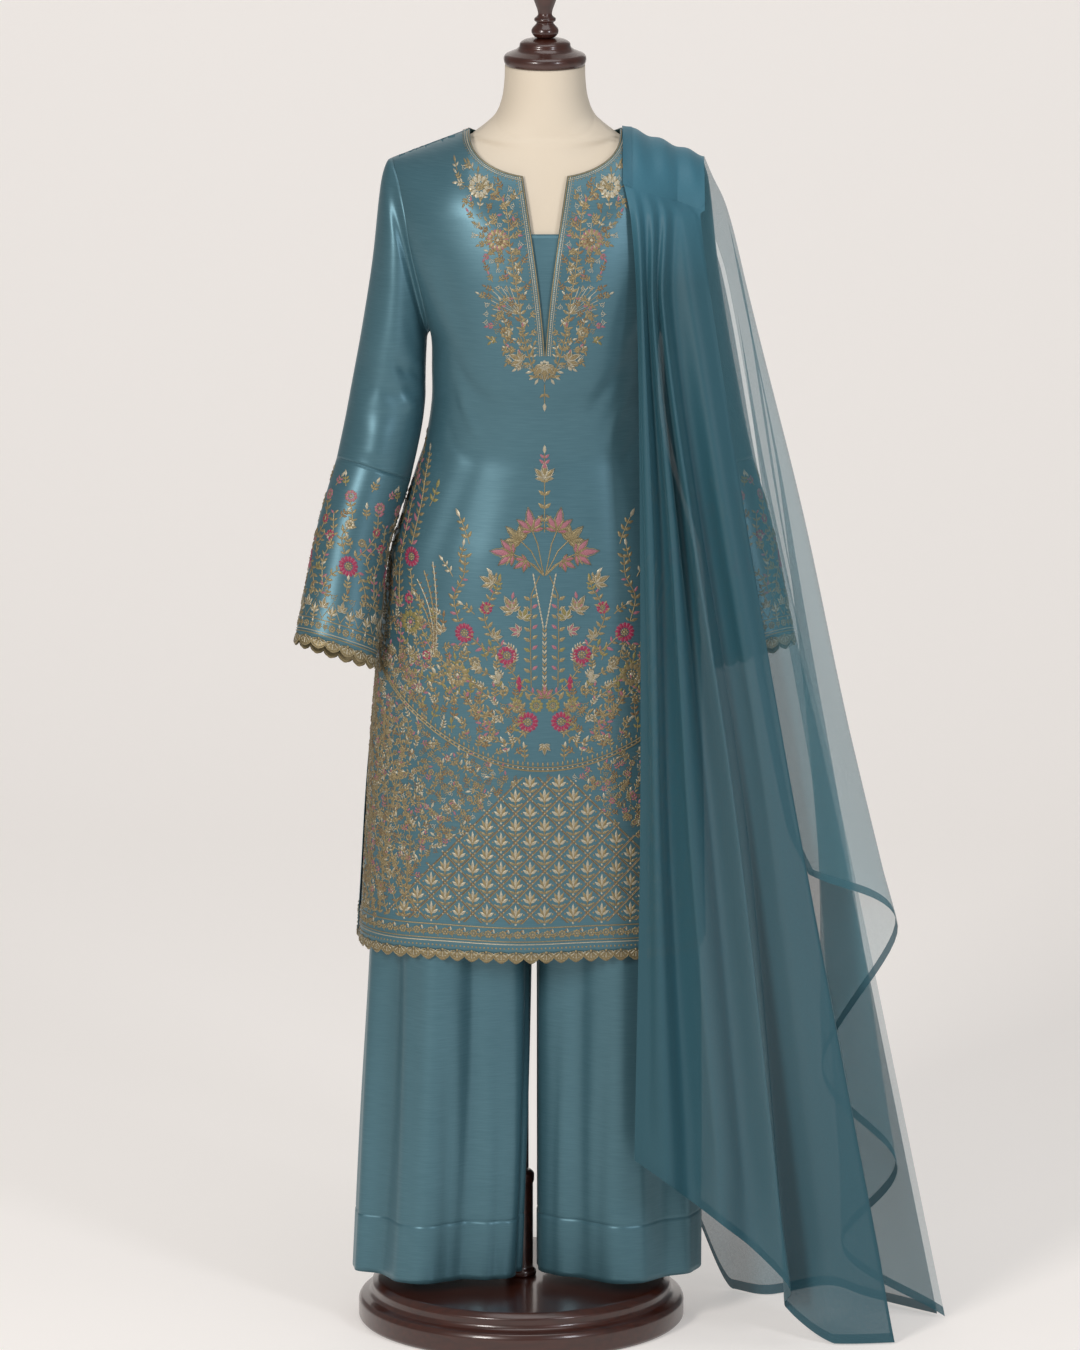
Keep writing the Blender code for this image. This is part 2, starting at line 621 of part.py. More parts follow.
def form_ring(z, count):
    """One ring of the dress form, torso and neck blended."""
    half, neck_half, neck_front, neck_back = smooth_row(FORM, z)
    reach = NECK_HALF + (NECK_Z - FORM_SHOULDER_DROP - z) / RIDGE_SLOPE
    half = min(half, max(reach, neck_half))
    centre_x = section(z)[0]
    inset = CHEST_INSET if z > 1.2 else FORM_INSET
    _, _, front, back = section(z, inset)
    ring = []
    for i in range(count):
        angle = 2 * math.pi * i / count
        share = abs(math.sin(angle)) ** (2 / SECTION_POWER)
        dx = half * share
        facing = -1 if math.cos(angle) > 0 else 1
        drop = ridge_height(max(dx, NECK_HALF)) - FORM_SHOULDER_DROP - z
        u = min(max(drop / round_height(dx, facing), 0.0), 1.0)
        taper = math.sqrt(1.0 - (1.0 - u) ** 2)
        body = (front if facing < 0 else back) * depth_share(share) * taper
        neck = (neck_front if facing < 0 else neck_back) * math.sqrt(max(1.0 - (dx / neck_half) ** 2, 0.0))
        depth = (body**6 + neck**6) ** (1 / 6)
        middle_y = SHOULDER_Y * (1.0 - taper)
        side = 1 if math.sin(angle) >= 0 else -1
        ring.append(Vector((centre_x + side * dx, middle_y + facing * depth, z)))
    return ring


def add_form(canvas):
    """The limbless torso and neck, one closed solid."""
    count = FORM_SIDES
    levels = [FORM_BOTTOM_Z, 0.916, 0.965, 1.003, *WAISTBAND_LEVELS, 1.140, 1.200, 1.260]
    levels += [1.320, 1.370, 1.400, 1.414, 1.427, 1.438, 1.448, 1.456, 1.464, 1.476, 1.488, 1.506, 1.528]
    levels.append(FORM_TOP_Z)
    body = bmesh.new()
    rings = [[body.verts.new(point) for point in form_ring(z, count)] for z in levels]
    for below, above in zip(rings, rings[1:]):
        for i in range(count):
            j = (i + 1) % count
            body.faces.new((below[i], below[j], above[j], above[i]))
    body.faces.new(rings[0])
    body.faces.new(rings[-1])
    bmesh.ops.recalc_face_normals(body, faces=body.faces)
    mesh = bpy.data.meshes.new("form_torso")
    body.to_mesh(mesh)
    body.free()
    mesh.shade_smooth()
    place("form_torso", mesh, canvas)


def add_stand(wood):
    """Neck cap, finial, both poles and the base."""
    neck_x = BODY[-1][1]
    neck_y = 0.005
    cap_bottom = FORM_TOP_Z + CONTACT_GAP
    cap = (
        (0.0, 0.0330), (0.0120, 0.0330), (0.0255, 0.0305), (0.0305, 0.0270), (0.0305, 0.0225),
        (0.0350, 0.0185), (0.0470, 0.0135), (0.0495, 0.0105), (0.0495, 0.0050), (0.0470, 0.0), (0.0, 0.0),
    )
    item = add_turned("neck_cap", [(r, cap_bottom + h) for r, h in cap], wood, 32)
    item.location = (neck_x, neck_y, 0.0)
    finial_bottom = cap_bottom + 0.0330 + CONTACT_GAP
    finial = (
        (0.0, 0.1140), (0.0060, 0.1120), (0.0085, 0.1060), (0.0060, 0.1000), (0.0055, 0.0960), (0.0150, 0.0880),
        (0.0200, 0.0760), (0.0190, 0.0640), (0.0145, 0.0480), (0.0090, 0.0330), (0.0080, 0.0270),
        (0.0130, 0.0235), (0.0130, 0.0205), (0.0095, 0.0180), (0.0160, 0.0110), (0.0165, 0.0060),
        (0.0120, 0.0), (0.0, 0.0),
    )
    item = add_turned("finial", [(r, finial_bottom + h) for r, h in finial], wood, 20)
    item.location = (neck_x, neck_y, 0.0)
    top = BASE_H
    base = (
        (0.0, top), (BASE_TOP_R - 0.008, top), (BASE_TOP_R, top - 0.006), (BASE_TOP_R, top - 0.015),
        (BASE_TOP_R + 0.003, top - 0.019), (BASE_R - 0.003, top - 0.022), (BASE_R, top - 0.027),
        (BASE_R, 0.004), (BASE_R - 0.004, 0.0), (0.0, 0.0),
    )
    add_turned("base", base, wood, 48)
    foot = top + CONTACT_GAP
    lower = (
        (0.0, LOWER_POLE_TOP_Z), (0.0110, LOWER_POLE_TOP_Z), (0.0160, 0.181), (0.0160, 0.172),
        (LOWER_POLE_R, 0.168), (LOWER_POLE_R, foot + 0.010), (0.0185, foot + 0.007), (0.0185, foot), (0.0, foot),
    )
    add_turned("pole_lower", lower, wood, 24)
    pole_bottom = LOWER_POLE_TOP_Z + CONTACT_GAP
    pole_top = FORM_BOTTOM_Z - CONTACT_GAP
    upper = ((0.0, pole_top), (UPPER_POLE_R, pole_top), (UPPER_POLE_R, pole_bottom), (0.0, pole_bottom))
    add_turned("pole_upper", upper, wood, 20)


def shoulder_point(x, angle, lift):
    """A point over the left shoulder: angle 0 is the shoulder seam, negative in front, positive behind."""
    dx = x - BODY[-1][1]
    body_dx = min(dx, SHOULDER_FULL_DX)
    z = ridge_height(body_dx) - SHOULDER_ROUND * (1.0 - math.cos(angle))
    facing = -1 if angle < 0 else 1
    y = surface_y(body_dx, z, facing)
    z += ridge_height(dx) - ridge_height(body_dx)
    return Vector((x, y + lift * math.sin(angle), z + lift * math.cos(angle)))


def add_dupatta_shoulder(organza):
    """The gathered stretch over the shoulder."""
    columns, rows = 12, 6
    grid = []
    for j in range(rows + 1):
        angle = lerp(-SHOULDER_REACH, SHOULDER_REACH, j / rows)
        row = []
        for i in range(columns + 1):
            x = lerp(SHOULDER_INNER_X, SHOULDER_OUTER_X, i / columns)
            lift = DUPATTA_LIFT + DUPATTA_PLEAT * (1 if i % 2 else -1)
            row.append(shoulder_point(x, angle, lift))
        grid.append(row)
    add_wall("dupatta_shoulder", [grid], ORGANZA_WALL, organza, offset=0.0)


def fold_line(top, fold, rows):
    """Points down one fold: from the shoulder through cap, bust, waist and knee to the hem."""
    cap_x, cap_y, bust_x, bust_y, waist_x, waist_y, knee_x, knee_y, hem_x, hem_y, hem_z = fold
    stops = [top, Vector((cap_x, cap_y, CAP_Z)), Vector((bust_x, bust_y, BUST_Z))]
    stops += [Vector((waist_x, waist_y, WAIST_Z)), Vector((knee_x, knee_y, KNEE_Z))]
    stops.append(Vector((hem_x, hem_y, hem_z)))
    reach = [0.0]
    for a, b in zip(stops, stops[1:]):
        reach.append(reach[-1] + (b - a).length)
    table = [(reach[k], *stops[k]) for k in range(len(stops))]
    return [Vector(smooth_row(table, reach[-1] * row_share(j / rows))) for j in range(rows + 1)]


def row_share(t):
    """Sets rows closer together near the shoulder, where the cloth bends most."""
    return (1.0 - ROWS_TO_SHOULDER) * t + ROWS_TO_SHOULDER * t * t


def add_fall(name, tops, folds, rows, organza):
    """A stretch of hanging dupatta: smooth waves through its fold lines."""
    lines = [fold_line(top, fold, rows) for top, fold in zip(tops, folds)]
    grid = []
    for j in range(rows + 1):
        table = [(k, *lines[k][j]) for k in range(len(lines))]
        steps = 2 * (len(lines) - 1)
        row = [Vector(smooth_row(table, (len(lines) - 1) * i / steps)) for i in range(steps + 1)]
        for point in row:
            point.z = max(point.z, FLOOR_Z)
        grid.append(row)
    add_wall(name, [grid], ORGANZA_WALL, organza, offset=0.0)


def add_dupatta(organza):
    add_dupatta_shoulder(organza)
    past_edge = math.radians(0.5)
    front_angle = -SHOULDER_REACH - 2.0 * past_edge
    back_angle = SHOULDER_REACH + past_edge
    tops = [shoulder_point(fold[0], front_angle, DUPATTA_LIFT) for fold in FRONT_FOLDS]
    add_fall("dupatta_front", tops, [fold[1:] for fold in FRONT_FOLDS], 13, organza)
    tops = [shoulder_point(fold[0], back_angle, DUPATTA_LIFT) for fold in BACK_FOLDS]
    add_fall("dupatta_back", tops, [fold[1:] for fold in BACK_FOLDS], 12, organza)
    tops = []
    for fold in SIDE_FOLDS:
        top = shoulder_point(SHOULDER_OUTER_X + SIDE_START, math.radians(fold[0]), DUPATTA_LIFT)
        tops.append(top)
    add_fall("dupatta_side", tops, [fold[1:] for fold in SIDE_FOLDS], 13, organza)


def build():
    silk = make_material("silk", SILK, 0.45)
    organza = make_material("organza", ORGANZA, 0.55)
    lace = make_material("gold_lace", GOLD_LACE, 0.50)
    canvas = make_material("canvas", CANVAS, 0.85)
    wood = make_material("dark_wood", WOOD, 0.25)
    add_stand(wood)
    add_form(canvas)
    add_trousers(silk)
    add_kameez_body(silk, lace)
    add_inset(silk)
    add_sleeve("right", -1, silk, lace)
    add_sleeve("left", 1, silk, lace)
    add_dupatta(organza)


clear_scene()
PARTS = bpy.data.collections.new("palazzo_suit_on_dress_form")
bpy.context.scene.collection.children.link(PARTS)
build()
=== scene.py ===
# %% [markdown]
# # A palazzo suit on a dress form
# A long straight tunic, the kameez, is worn over wide palazzo trousers, with a sheer
# scarf, the dupatta, over the left shoulder. All three hang on a limbless dress form
# with a turned wooden stand. model.glb gives the plain solids. This script gives each
# of them its fine cloth, its thread work and its finish.

import math

import bmesh
import bpy
import numpy as np
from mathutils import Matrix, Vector


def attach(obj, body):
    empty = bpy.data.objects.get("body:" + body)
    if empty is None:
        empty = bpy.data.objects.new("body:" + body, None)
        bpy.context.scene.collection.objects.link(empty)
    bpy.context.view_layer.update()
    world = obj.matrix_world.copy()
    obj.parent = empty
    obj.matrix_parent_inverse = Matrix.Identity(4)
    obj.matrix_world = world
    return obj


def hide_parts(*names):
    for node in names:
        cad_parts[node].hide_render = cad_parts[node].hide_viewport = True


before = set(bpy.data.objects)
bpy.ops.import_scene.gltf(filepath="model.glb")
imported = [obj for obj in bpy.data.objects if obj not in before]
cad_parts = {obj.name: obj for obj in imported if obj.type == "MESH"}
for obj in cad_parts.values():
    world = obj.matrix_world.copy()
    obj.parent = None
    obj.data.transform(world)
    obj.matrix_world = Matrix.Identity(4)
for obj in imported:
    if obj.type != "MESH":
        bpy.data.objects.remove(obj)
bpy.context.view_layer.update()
print("CAD nodes:", len(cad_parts))

# %% [markdown]
# ## Sizes
# Sizes are in metres. The tables give the body of the garment at a few heights, as a
# pattern cutter would note them, and everything between is a smooth curve through the
# rows. The fine surfaces use the same numbers as the solids, so they fit them.

# %% Sizes of the kameez
HEM_Z = 0.4855
SLIT_BOTTOM_Z = 1.218
SLIT_TOP_Z = 1.4265
SLIT_HALF = 0.0264
NECK_Z = 1.470
NECK_HALF = 0.090
NECK_DROP = 0.0455
BACK_NECK_DROP = 0.018
UNDERARM_Z = 1.227
SHOULDER_Z = 1.4355
SHOULDER_DX = 0.182
SHOULDER_Y = 0.010
SHOULDER_ROUND = 0.085
SHOULDER_ROUND_DX = 0.120
RIDGE_SLOPE = (NECK_Z - SHOULDER_Z) / (SHOULDER_DX - NECK_HALF)
CHEST_ROUND = 0.150
BACK_ROUND = 0.120
ARMHOLE_TURN = math.radians(25)
TIP_GAP = 0.0007
SEAM_HALF_GAP = 0.0004
SECTION_POWER = 2.25
CENTRE_X = 0.029

BODY = (
    # height, centre x, half width, depth in front, depth behind
    (0.474, 0.0120, 0.2090, 0.116, 0.119),
    (0.600, 0.0150, 0.2045, 0.115, 0.118),
    (0.710, 0.0175, 0.2015, 0.114, 0.116),
    (0.846, 0.0220, 0.1940, 0.112, 0.114),
    (0.916, 0.0240, 0.1880, 0.110, 0.112),
    (0.965, 0.0255, 0.1815, 0.107, 0.109),
    (1.003, 0.0270, 0.1710, 0.103, 0.104),
    (1.063, 0.0275, 0.1525, 0.097, 0.093),
    (1.092, 0.0285, 0.1440, 0.095, 0.089),
    (1.140, 0.0290, 0.1365, 0.100, 0.089),
    (1.180, 0.0290, 0.1360, 0.113, 0.093),
    (1.227, 0.0290, 0.1380, 0.125, 0.098),
    (1.278, 0.0290, 0.1570, 0.126, 0.101),
    (1.337, 0.0290, 0.1720, 0.120, 0.101),
    (1.401, 0.0290, 0.1830, 0.108, 0.098),
    (1.475, 0.0290, 0.1900, 0.098, 0.092),
)
ARMHOLE = (
    # height, distance of the armhole seam from the centre line
    (1.2270, 0.1380),
    (1.2780, 0.1480),
    (1.3370, 0.1610),
    (1.4010, 0.1720),
    (1.4355, 0.1820),
)

# %% Sizes of the sleeves, trousers and form
SLEEVE = (
    # outer dx, outer z, inner dx, inner z, middle y, half depth, tilt in degrees
    (0.1890, 1.4320, 0.1410, 1.2210, 0.003, 0.0510, 0.0),
    (0.1965, 1.4070, 0.1420, 1.2090, 0.002, 0.0540, 0.0),
    (0.2075, 1.3120, 0.1430, 1.1880, 0.000, 0.0550, 2.0),
    (0.2190, 1.2380, 0.1435, 1.1660, -0.001, 0.0545, 4.0),
    (0.2320, 1.1660, 0.1440, 1.1415, -0.003, 0.0535, 7.0),
    (0.2405, 1.1200, 0.1490, 1.1050, -0.007, 0.0525, 9.0),
    (0.2505, 1.0740, 0.1620, 1.0460, -0.014, 0.0515, 12.0),
)
CUFF_PANEL = (
    # the same columns as the sleeve
    (0.2507, 1.0733, 0.1622, 1.0453, -0.0142, 0.0514, 12.0),
    (0.2740, 0.9940, 0.1870, 0.9680, -0.036, 0.0460, 15.0),
    (0.2880, 0.9250, 0.1960, 0.8980, -0.055, 0.0410, 17.0),
    (0.2998, 0.8680, 0.2030, 0.8375, -0.073, 0.0370, 18.0),
)
LEGS = (
    # height, right leg's outer and inner x, left leg's inner and outer x, depth in front, behind
    (0.066, -0.2060, 0.0009, 0.0193, 0.2200, 0.083, 0.083),
    (0.250, -0.1970, 0.0080, 0.0191, 0.2205, 0.083, 0.083),
    (0.448, -0.1850, 0.0130, 0.0189, 0.2180, 0.084, 0.084),
    (0.600, -0.1780, 0.0148, 0.0179, 0.2100, 0.085, 0.086),
    (0.740, -0.1710, 0.0156, 0.0170, 0.2080, 0.087, 0.088),
    (0.900, -0.1600, 0.0156, 0.0170, 0.2000, 0.090, 0.092),
)
FORM = (
    # height, half width, the neck's half width, its depth in front and behind
    (0.864, 0.181, 0.010, 0.010, 0.010),
    (0.916, 0.178, 0.010, 0.010, 0.010),
    (0.965, 0.172, 0.010, 0.010, 0.010),
    (1.003, 0.161, 0.010, 0.010, 0.010),
    (1.063, 0.143, 0.010, 0.010, 0.010),
    (1.092, 0.134, 0.010, 0.010, 0.010),
    (1.140, 0.127, 0.010, 0.010, 0.010),
    (1.200, 0.127, 0.010, 0.010, 0.010),
    (1.260, 0.133, 0.010, 0.010, 0.010),
    (1.320, 0.147, 0.010, 0.010, 0.010),
    (1.380, 0.162, 0.060, 0.030, 0.024),
    (1.412, 0.173, 0.075, 0.051, 0.036),
    (1.425, 0.176, 0.078, 0.056, 0.038),
    (1.440, 0.1641, 0.078, 0.059, 0.040),
    (1.455, 0.1241, 0.078, 0.060, 0.041),
    (1.464, 0.088, 0.088, 0.0595, 0.042),
    (1.485, 0.062, 0.062, 0.058, 0.042),
    (1.506, 0.0520, 0.0520, 0.056, 0.0425),
    (1.530, 0.0485, 0.0485, 0.054, 0.0425),
    (1.5475, 0.0480, 0.0480, 0.053, 0.043),
)
TROUSER_HEM_Z = 0.066
CROTCH_Z = 0.740
RISE_Z = 0.860
WAISTBAND_BOTTOM_Z = 1.062
WAISTBAND_TOP_Z = 1.098
TROUSER_INSET = 0.0045
WAISTBAND_INSET = 0.0072
FORM_INSET = 0.009
CHEST_INSET = 0.006
FORM_SHOULDER_DROP = 0.0022

# %% [markdown]
# ## Reading the tables
# Every helper works on whole arrays of points, so a surface of ten thousand points
# takes a few milliseconds.


# %% Reading the tables
def read_table(table, keys):
    """Reads the columns of a table at each key, on a smooth curve through its rows."""
    rows = np.array(table, float)
    known = rows[:, 0]
    keys = np.clip(np.asarray(keys, float), known[0], known[-1])
    before = np.maximum(np.arange(len(known)) - 1, 0)
    after = np.minimum(np.arange(len(known)) + 1, len(known) - 1)
    slopes = (rows[after] - rows[before]) / (known[after] - known[before])[:, None]
    low = np.clip(np.searchsorted(known, keys, side="right") - 1, 0, len(known) - 2)
    step = (known[low + 1] - known[low])[..., None]
    t = (keys - known[low])[..., None] / step
    value = (2 * t**3 - 3 * t**2 + 1) * rows[low] + (t**3 - 2 * t**2 + t) * step * slopes[low]
    value += (3 * t**2 - 2 * t**3) * rows[low + 1] + (t**3 - t**2) * step * slopes[low + 1]
    return value[..., 1:]


def lerp(a, b, t):
    return a + (b - a) * t


def ramp(value, start, end):
    """Goes smoothly from 0 at start to 1 at end."""
    t = np.clip((value - start) / (end - start), 0.0, 1.0)
    return t * t * (3 - 2 * t)


def section(z, inset=0.0):
    """Centre x, half width and depths of the garment at each height."""
    centre_x, half, front, back = np.moveaxis(read_table(BODY, z), -1, 0)
    reach = (SHOULDER_Z - UNDERARM_Z) / 2
    height = np.clip((z - (SHOULDER_Z + UNDERARM_Z) / 2) / reach, -1.0, 0.0)
    turn = math.pi / 2 - ARMHOLE_TURN * np.sqrt(1.0 - height**2)
    arm = read_table(ARMHOLE, z)[..., 0] / np.sin(turn) ** (2 / SECTION_POWER)
    half = np.where(np.asarray(z) > UNDERARM_Z, arm, half)
    return centre_x, half - inset, front - inset, back - inset


def depth_share(share):
    """Depth of the section at a share of its half width."""
    share = np.minimum(np.abs(share), 1.0)
    return (1.0 - share**SECTION_POWER) ** (1.0 / SECTION_POWER)


def ridge_height(dx):
    """Height of the shoulder seam."""
    return NECK_Z - RIDGE_SLOPE * np.maximum(np.abs(dx) - NECK_HALF, 0.0)


def round_height(dx, facing):
    """How far below the shoulder seam the surface reaches its full depth."""
    chest = CHEST_ROUND if facing < 0 else BACK_ROUND
    return lerp(chest, SHOULDER_ROUND, ramp(np.abs(dx), 0.0, SHOULDER_ROUND_DX))


def surface_y(dx, z, facing, inset=0.0):
    """Front (facing -1) or back (facing 1) of the kameez."""
    _, half, front, back = section(z, inset)
    full = front if facing < 0 else back
    u = np.clip((ridge_height(dx) - z) / round_height(dx, facing), 0.0, 1.0)
    taper = np.sqrt(1.0 - (1.0 - u) ** 2)
    return SHOULDER_Y * (1.0 - taper) + facing * full * depth_share(dx / half) * taper


def to_angle(dx, half):
    return np.arcsin(np.minimum(np.abs(dx) / half, 1.0) ** (SECTION_POWER / 2))


def from_angle(angle, half):
    return half * np.sin(angle) ** (2 / SECTION_POWER)


print("Half width at the hem:", round(float(section(HEM_Z)[1]), 4))

# %% [markdown]
# ## Grids of points
# A sheet of cloth is a grid of points. Two steps change it: creases move the points
# along the surface's own normals, and a thin wall is added last.


# %% Grids of points
def normals(points, wrap=False):
    """Unit normals of a grid of points. wrap closes each row on itself."""
    if wrap:
        across = np.roll(points, -1, axis=1) - np.roll(points, 1, axis=1)
    else:
        across = np.gradient(points, axis=1)
    along = np.gradient(points, axis=0)
    crossed = np.cross(across, along)
    return crossed / np.maximum(np.linalg.norm(crossed, axis=-1, keepdims=True), 1e-12)


def resample(points, count, share=None):
    """Reads a list of points or rings again at count places along its length, smoothly."""
    flat = points.reshape(len(points), -1)
    lengths = np.linalg.norm(np.diff(points.reshape(len(points), -1, 3), axis=0), axis=-1).mean(axis=1)
    keys = np.concatenate([[0.0], np.cumsum(lengths)])
    t = np.linspace(0.0, 1.0, count)
    t = t if share is None else share(t)
    table = np.column_stack([keys, flat])
    return read_table(table, t * keys[-1]).reshape((count,) + points.shape[1:])


def creases(across, along, table):
    """Relief of soft troughs and ridges. Each runs from one place to another on the flat cloth."""
    height = np.zeros_like(across)
    for start_u, start_v, end_u, end_v, width, depth in table:
        du, dv = end_u - start_u, end_v - start_v
        length = math.hypot(du, dv)
        t = ((across - start_u) * du + (along - start_v) * dv) / length**2
        off = ((across - start_u) * dv - (along - start_v) * du) / length
        bend = 0.06 * length * np.sin(math.pi * np.clip(t, 0.0, 1.0))
        ends = ramp(t, -0.15, 0.35) * (1.0 - ramp(t, 0.65, 1.15))
        height += depth * ends * np.exp(-(((off - bend) / width) ** 2))
    return height


def add_mesh(name, points, faces, material):
    """Makes a smooth mesh from arrays of points and faces."""
    mesh = bpy.data.meshes.new(name)
    mesh.from_pydata(points.reshape(-1, 3).tolist(), [], faces)
    mesh.materials.append(material)
    mesh.shade_smooth()
    item = bpy.data.objects.new(name, mesh)
    bpy.context.scene.collection.objects.link(item)
    return item


def grid_faces(rows, columns, wrap=False):
    """Quads between the rows of a grid."""
    faces = []
    for j in range(rows - 1):
        for i in range(columns if wrap else columns - 1):
            k = (i + 1) % columns
            faces.append((j * columns + i, j * columns + k, (j + 1) * columns + k, (j + 1) * columns + i))
    return faces


def add_cloth(name, grids, material, wall=0.0, wrap=False, flip=False):
    """Makes one sheet from grids that share their edge points, with a thin wall inwards."""
    points, faces = [], []
    for grid in grids:
        start = sum(len(part) for part in points)
        rows, columns = grid.shape[:2]
        points.append(grid.reshape(-1, 3))
        faces += [tuple(start + i for i in face) for face in grid_faces(rows, columns, wrap)]
    item = add_mesh(name, np.concatenate(points), faces, material)
    body = bmesh.new()
    body.from_mesh(item.data)
    bmesh.ops.remove_doubles(body, verts=body.verts, dist=1e-6)
    bmesh.ops.recalc_face_normals(body, faces=body.faces)
    if flip:
        bmesh.ops.reverse_faces(body, faces=body.faces)
    body.to_mesh(item.data)
    body.free()
    item.data.shade_smooth()
    if wall:
        thicken = item.modifiers.new("Wall", "SOLIDIFY")
        thicken.thickness = wall
        thicken.offset = -1.0
    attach(item, "root")
    return item


def area_of(item):
    """Area of one side of a sheet, before its wall."""
    return sum(face.area for face in item.data.polygons)


print("Grid helpers are ready")

# %% [markdown]
# ## Materials
# Colours are read off as screen colours and turned to linear light. Each cloth has its
# own weave: the raw silk has long slubs across the loom, the organza is an open net of
# fine twisted threads, the form wears a smooth jersey and the stand is lacquered wood.


# %% Material helpers
def linear(code, alpha=1.0):
    """Turns a screen colour such as 4f7f8c into linear light."""
    values = [int(code[i:i + 2], 16) / 255 for i in (0, 2, 4)]
    values = [v / 12.92 if v <= 0.04045 else ((v + 0.055) / 1.055) ** 2.4 for v in values]
    return (*values, alpha)


def new_material(name, color, **inputs):
    """Makes a Principled material of one colour with the given socket values."""
    material = bpy.data.materials.new(name)
    material.use_nodes = True
    material.diffuse_color = color
    shader = material.node_tree.nodes["Principled BSDF"]
    shader.inputs["Base Color"].default_value = color
    for socket, value in inputs.items():
        shader.inputs[socket.replace("_", " ")].default_value = value
    return material


def add_node(material, kind, inputs=(), **settings):
    """Adds a node with its settings. An input is a value, or a node and the name of its output."""
    tree = material.node_tree
    node = tree.nodes.new(kind)
    for name, value in settings.items():
        setattr(node, name, value)
    for socket, value in dict(inputs).items():
        if isinstance(value, tuple) and isinstance(value[0], bpy.types.Node):
            tree.links.new(value[0].outputs[value[1]], node.inputs[socket])
        else:
            node.inputs[socket].default_value = value
    return node


def link_shader(material, socket, node, output):
    """Links a node to one of the shader's sockets."""
    shader = material.node_tree.nodes["Principled BSDF"]
    material.node_tree.links.new(node.outputs[output], shader.inputs[socket])


print("Teal in linear light:", [round(v, 3) for v in linear("4f7f8c")])


# %% Cloth materials
def stretched_noise(material, scale, detail=3.0):
    """Noise in the object's own metres, stretched by a scale on each axis."""
    place = add_node(material, "ShaderNodeTexCoord")
    sized = add_node(material, "ShaderNodeMapping", {"Vector": (place, "Object"), "Scale": scale})
    return add_node(material, "ShaderNodeTexNoise", {"Vector": (sized, "Vector"), "Scale": 1.0, "Detail": detail})


def make_silk(name, deep, mid, light):
    """Raw silk: fine slubs across, finer threads up and down, and the gloss of satin."""
    silk = new_material(
        name, linear(mid), Roughness=0.40, Metallic=0.42, Sheen_Weight=0.10, Sheen_Roughness=0.35,
        Sheen_Tint=linear("9fc6cf"), Specular_IOR_Level=0.55, IOR=1.50,
    )
    slubs = stretched_noise(silk, (45.0, 45.0, 1300.0), 4.0)
    threads = stretched_noise(silk, (1500.0, 1500.0, 240.0), 2.0)
    clouds = stretched_noise(silk, (5.0, 5.0, 3.0), 3.0)
    slub_tone = add_node(silk, "ShaderNodeMapRange", {
        "Value": (slubs, "Fac"), "From Min": 0.35, "From Max": 0.75, "To Max": 0.5})
    tone = add_node(silk, "ShaderNodeMix", {
        0: (slub_tone, "Result"), 6: linear(mid), 7: linear(light)}, data_type="RGBA")
    cloud_tone = add_node(silk, "ShaderNodeMapRange", {
        "Value": (clouds, "Fac"), "From Min": 0.35, "From Max": 0.75, "To Max": 0.35})
    shade = add_node(silk, "ShaderNodeMix", {
        0: (cloud_tone, "Result"), 6: (tone, 2), 7: linear(deep)}, data_type="RGBA")
    link_shader(silk, "Base Color", shade, 2)
    fine = add_node(silk, "ShaderNodeBump", {
        "Height": (threads, "Fac"), "Strength": 0.10, "Distance": 0.0002})
    bump = add_node(silk, "ShaderNodeBump", {
        "Height": (slubs, "Fac"), "Normal": (fine, "Normal"), "Strength": 0.07, "Distance": 0.0003})
    link_shader(silk, "Normal", bump, "Normal")
    return silk


def make_organza(name, color, cover, painted_light_tone=None):
    """Sheer organza: fine threads that cover part of the view. A last colour, when given, is a painted highlight: the
    cloth turns lighter towards the top of the shoulder, where the light falls on it.
    """
    organza = new_material(
        name, linear(color), Roughness=0.50, Sheen_Weight=0.30, Sheen_Roughness=0.40,
        Sheen_Tint=linear("8fb9c2"), Specular_IOR_Level=0.35,
    )
    organza.surface_render_method = "BLENDED"
    weave = stretched_noise(organza, (420.0, 420.0, 420.0), 2.0)
    density = add_node(organza, "ShaderNodeMapRange", {
        "Value": (weave, "Fac"), "From Min": 0.3, "From Max": 0.7,
        "To Min": cover - 0.02, "To Max": cover + 0.02})
    link_shader(organza, "Alpha", density, "Result")
    # Painted highlight: from 1.30 m up to 1.43 m the colour blends to a lighter colour, where the light falls on the
    # shoulder.
    if painted_light_tone:
        place = add_node(organza, "ShaderNodeTexCoord")
        axes = add_node(organza, "ShaderNodeSeparateXYZ", {"Vector": (place, "Object")})
        height = add_node(organza, "ShaderNodeMapRange", {
            "Value": (axes, "Z"), "From Min": 1.30, "From Max": 1.43})
        tone = add_node(organza, "ShaderNodeMix", {
            0: (height, "Result"), 6: linear(color), 7: linear(painted_light_tone)}, data_type="RGBA")
        link_shader(organza, "Base Color", tone, 2)
    streaks = stretched_noise(organza, (260.0, 260.0, 6.0), 2.0)
    bump = add_node(organza, "ShaderNodeBump", {
        "Height": (streaks, "Fac"), "Strength": 0.25, "Distance": 0.0006})
    link_shader(organza, "Normal", bump, "Normal")
    return organza


silk = make_silk("raw_silk", "30535d", "456b77", "5a808b")
organza = make_organza("organza", "437885", 0.38)
organza_folded = make_organza("organza_folded", "33606c", 0.68)
# The front, shoulder and hem organza carry a painted highlight: they are lighter towards the shoulder.
organza_layers = make_organza("organza_layers", "28525e", 0.90, painted_light_tone="3c7082")
organza_hem = make_organza("organza_hem", "2a535f", 0.82, painted_light_tone="396b7d")
print("Cloth materials:", silk.name, organza.name, organza_folded.name, organza_layers.name, organza_hem.name)


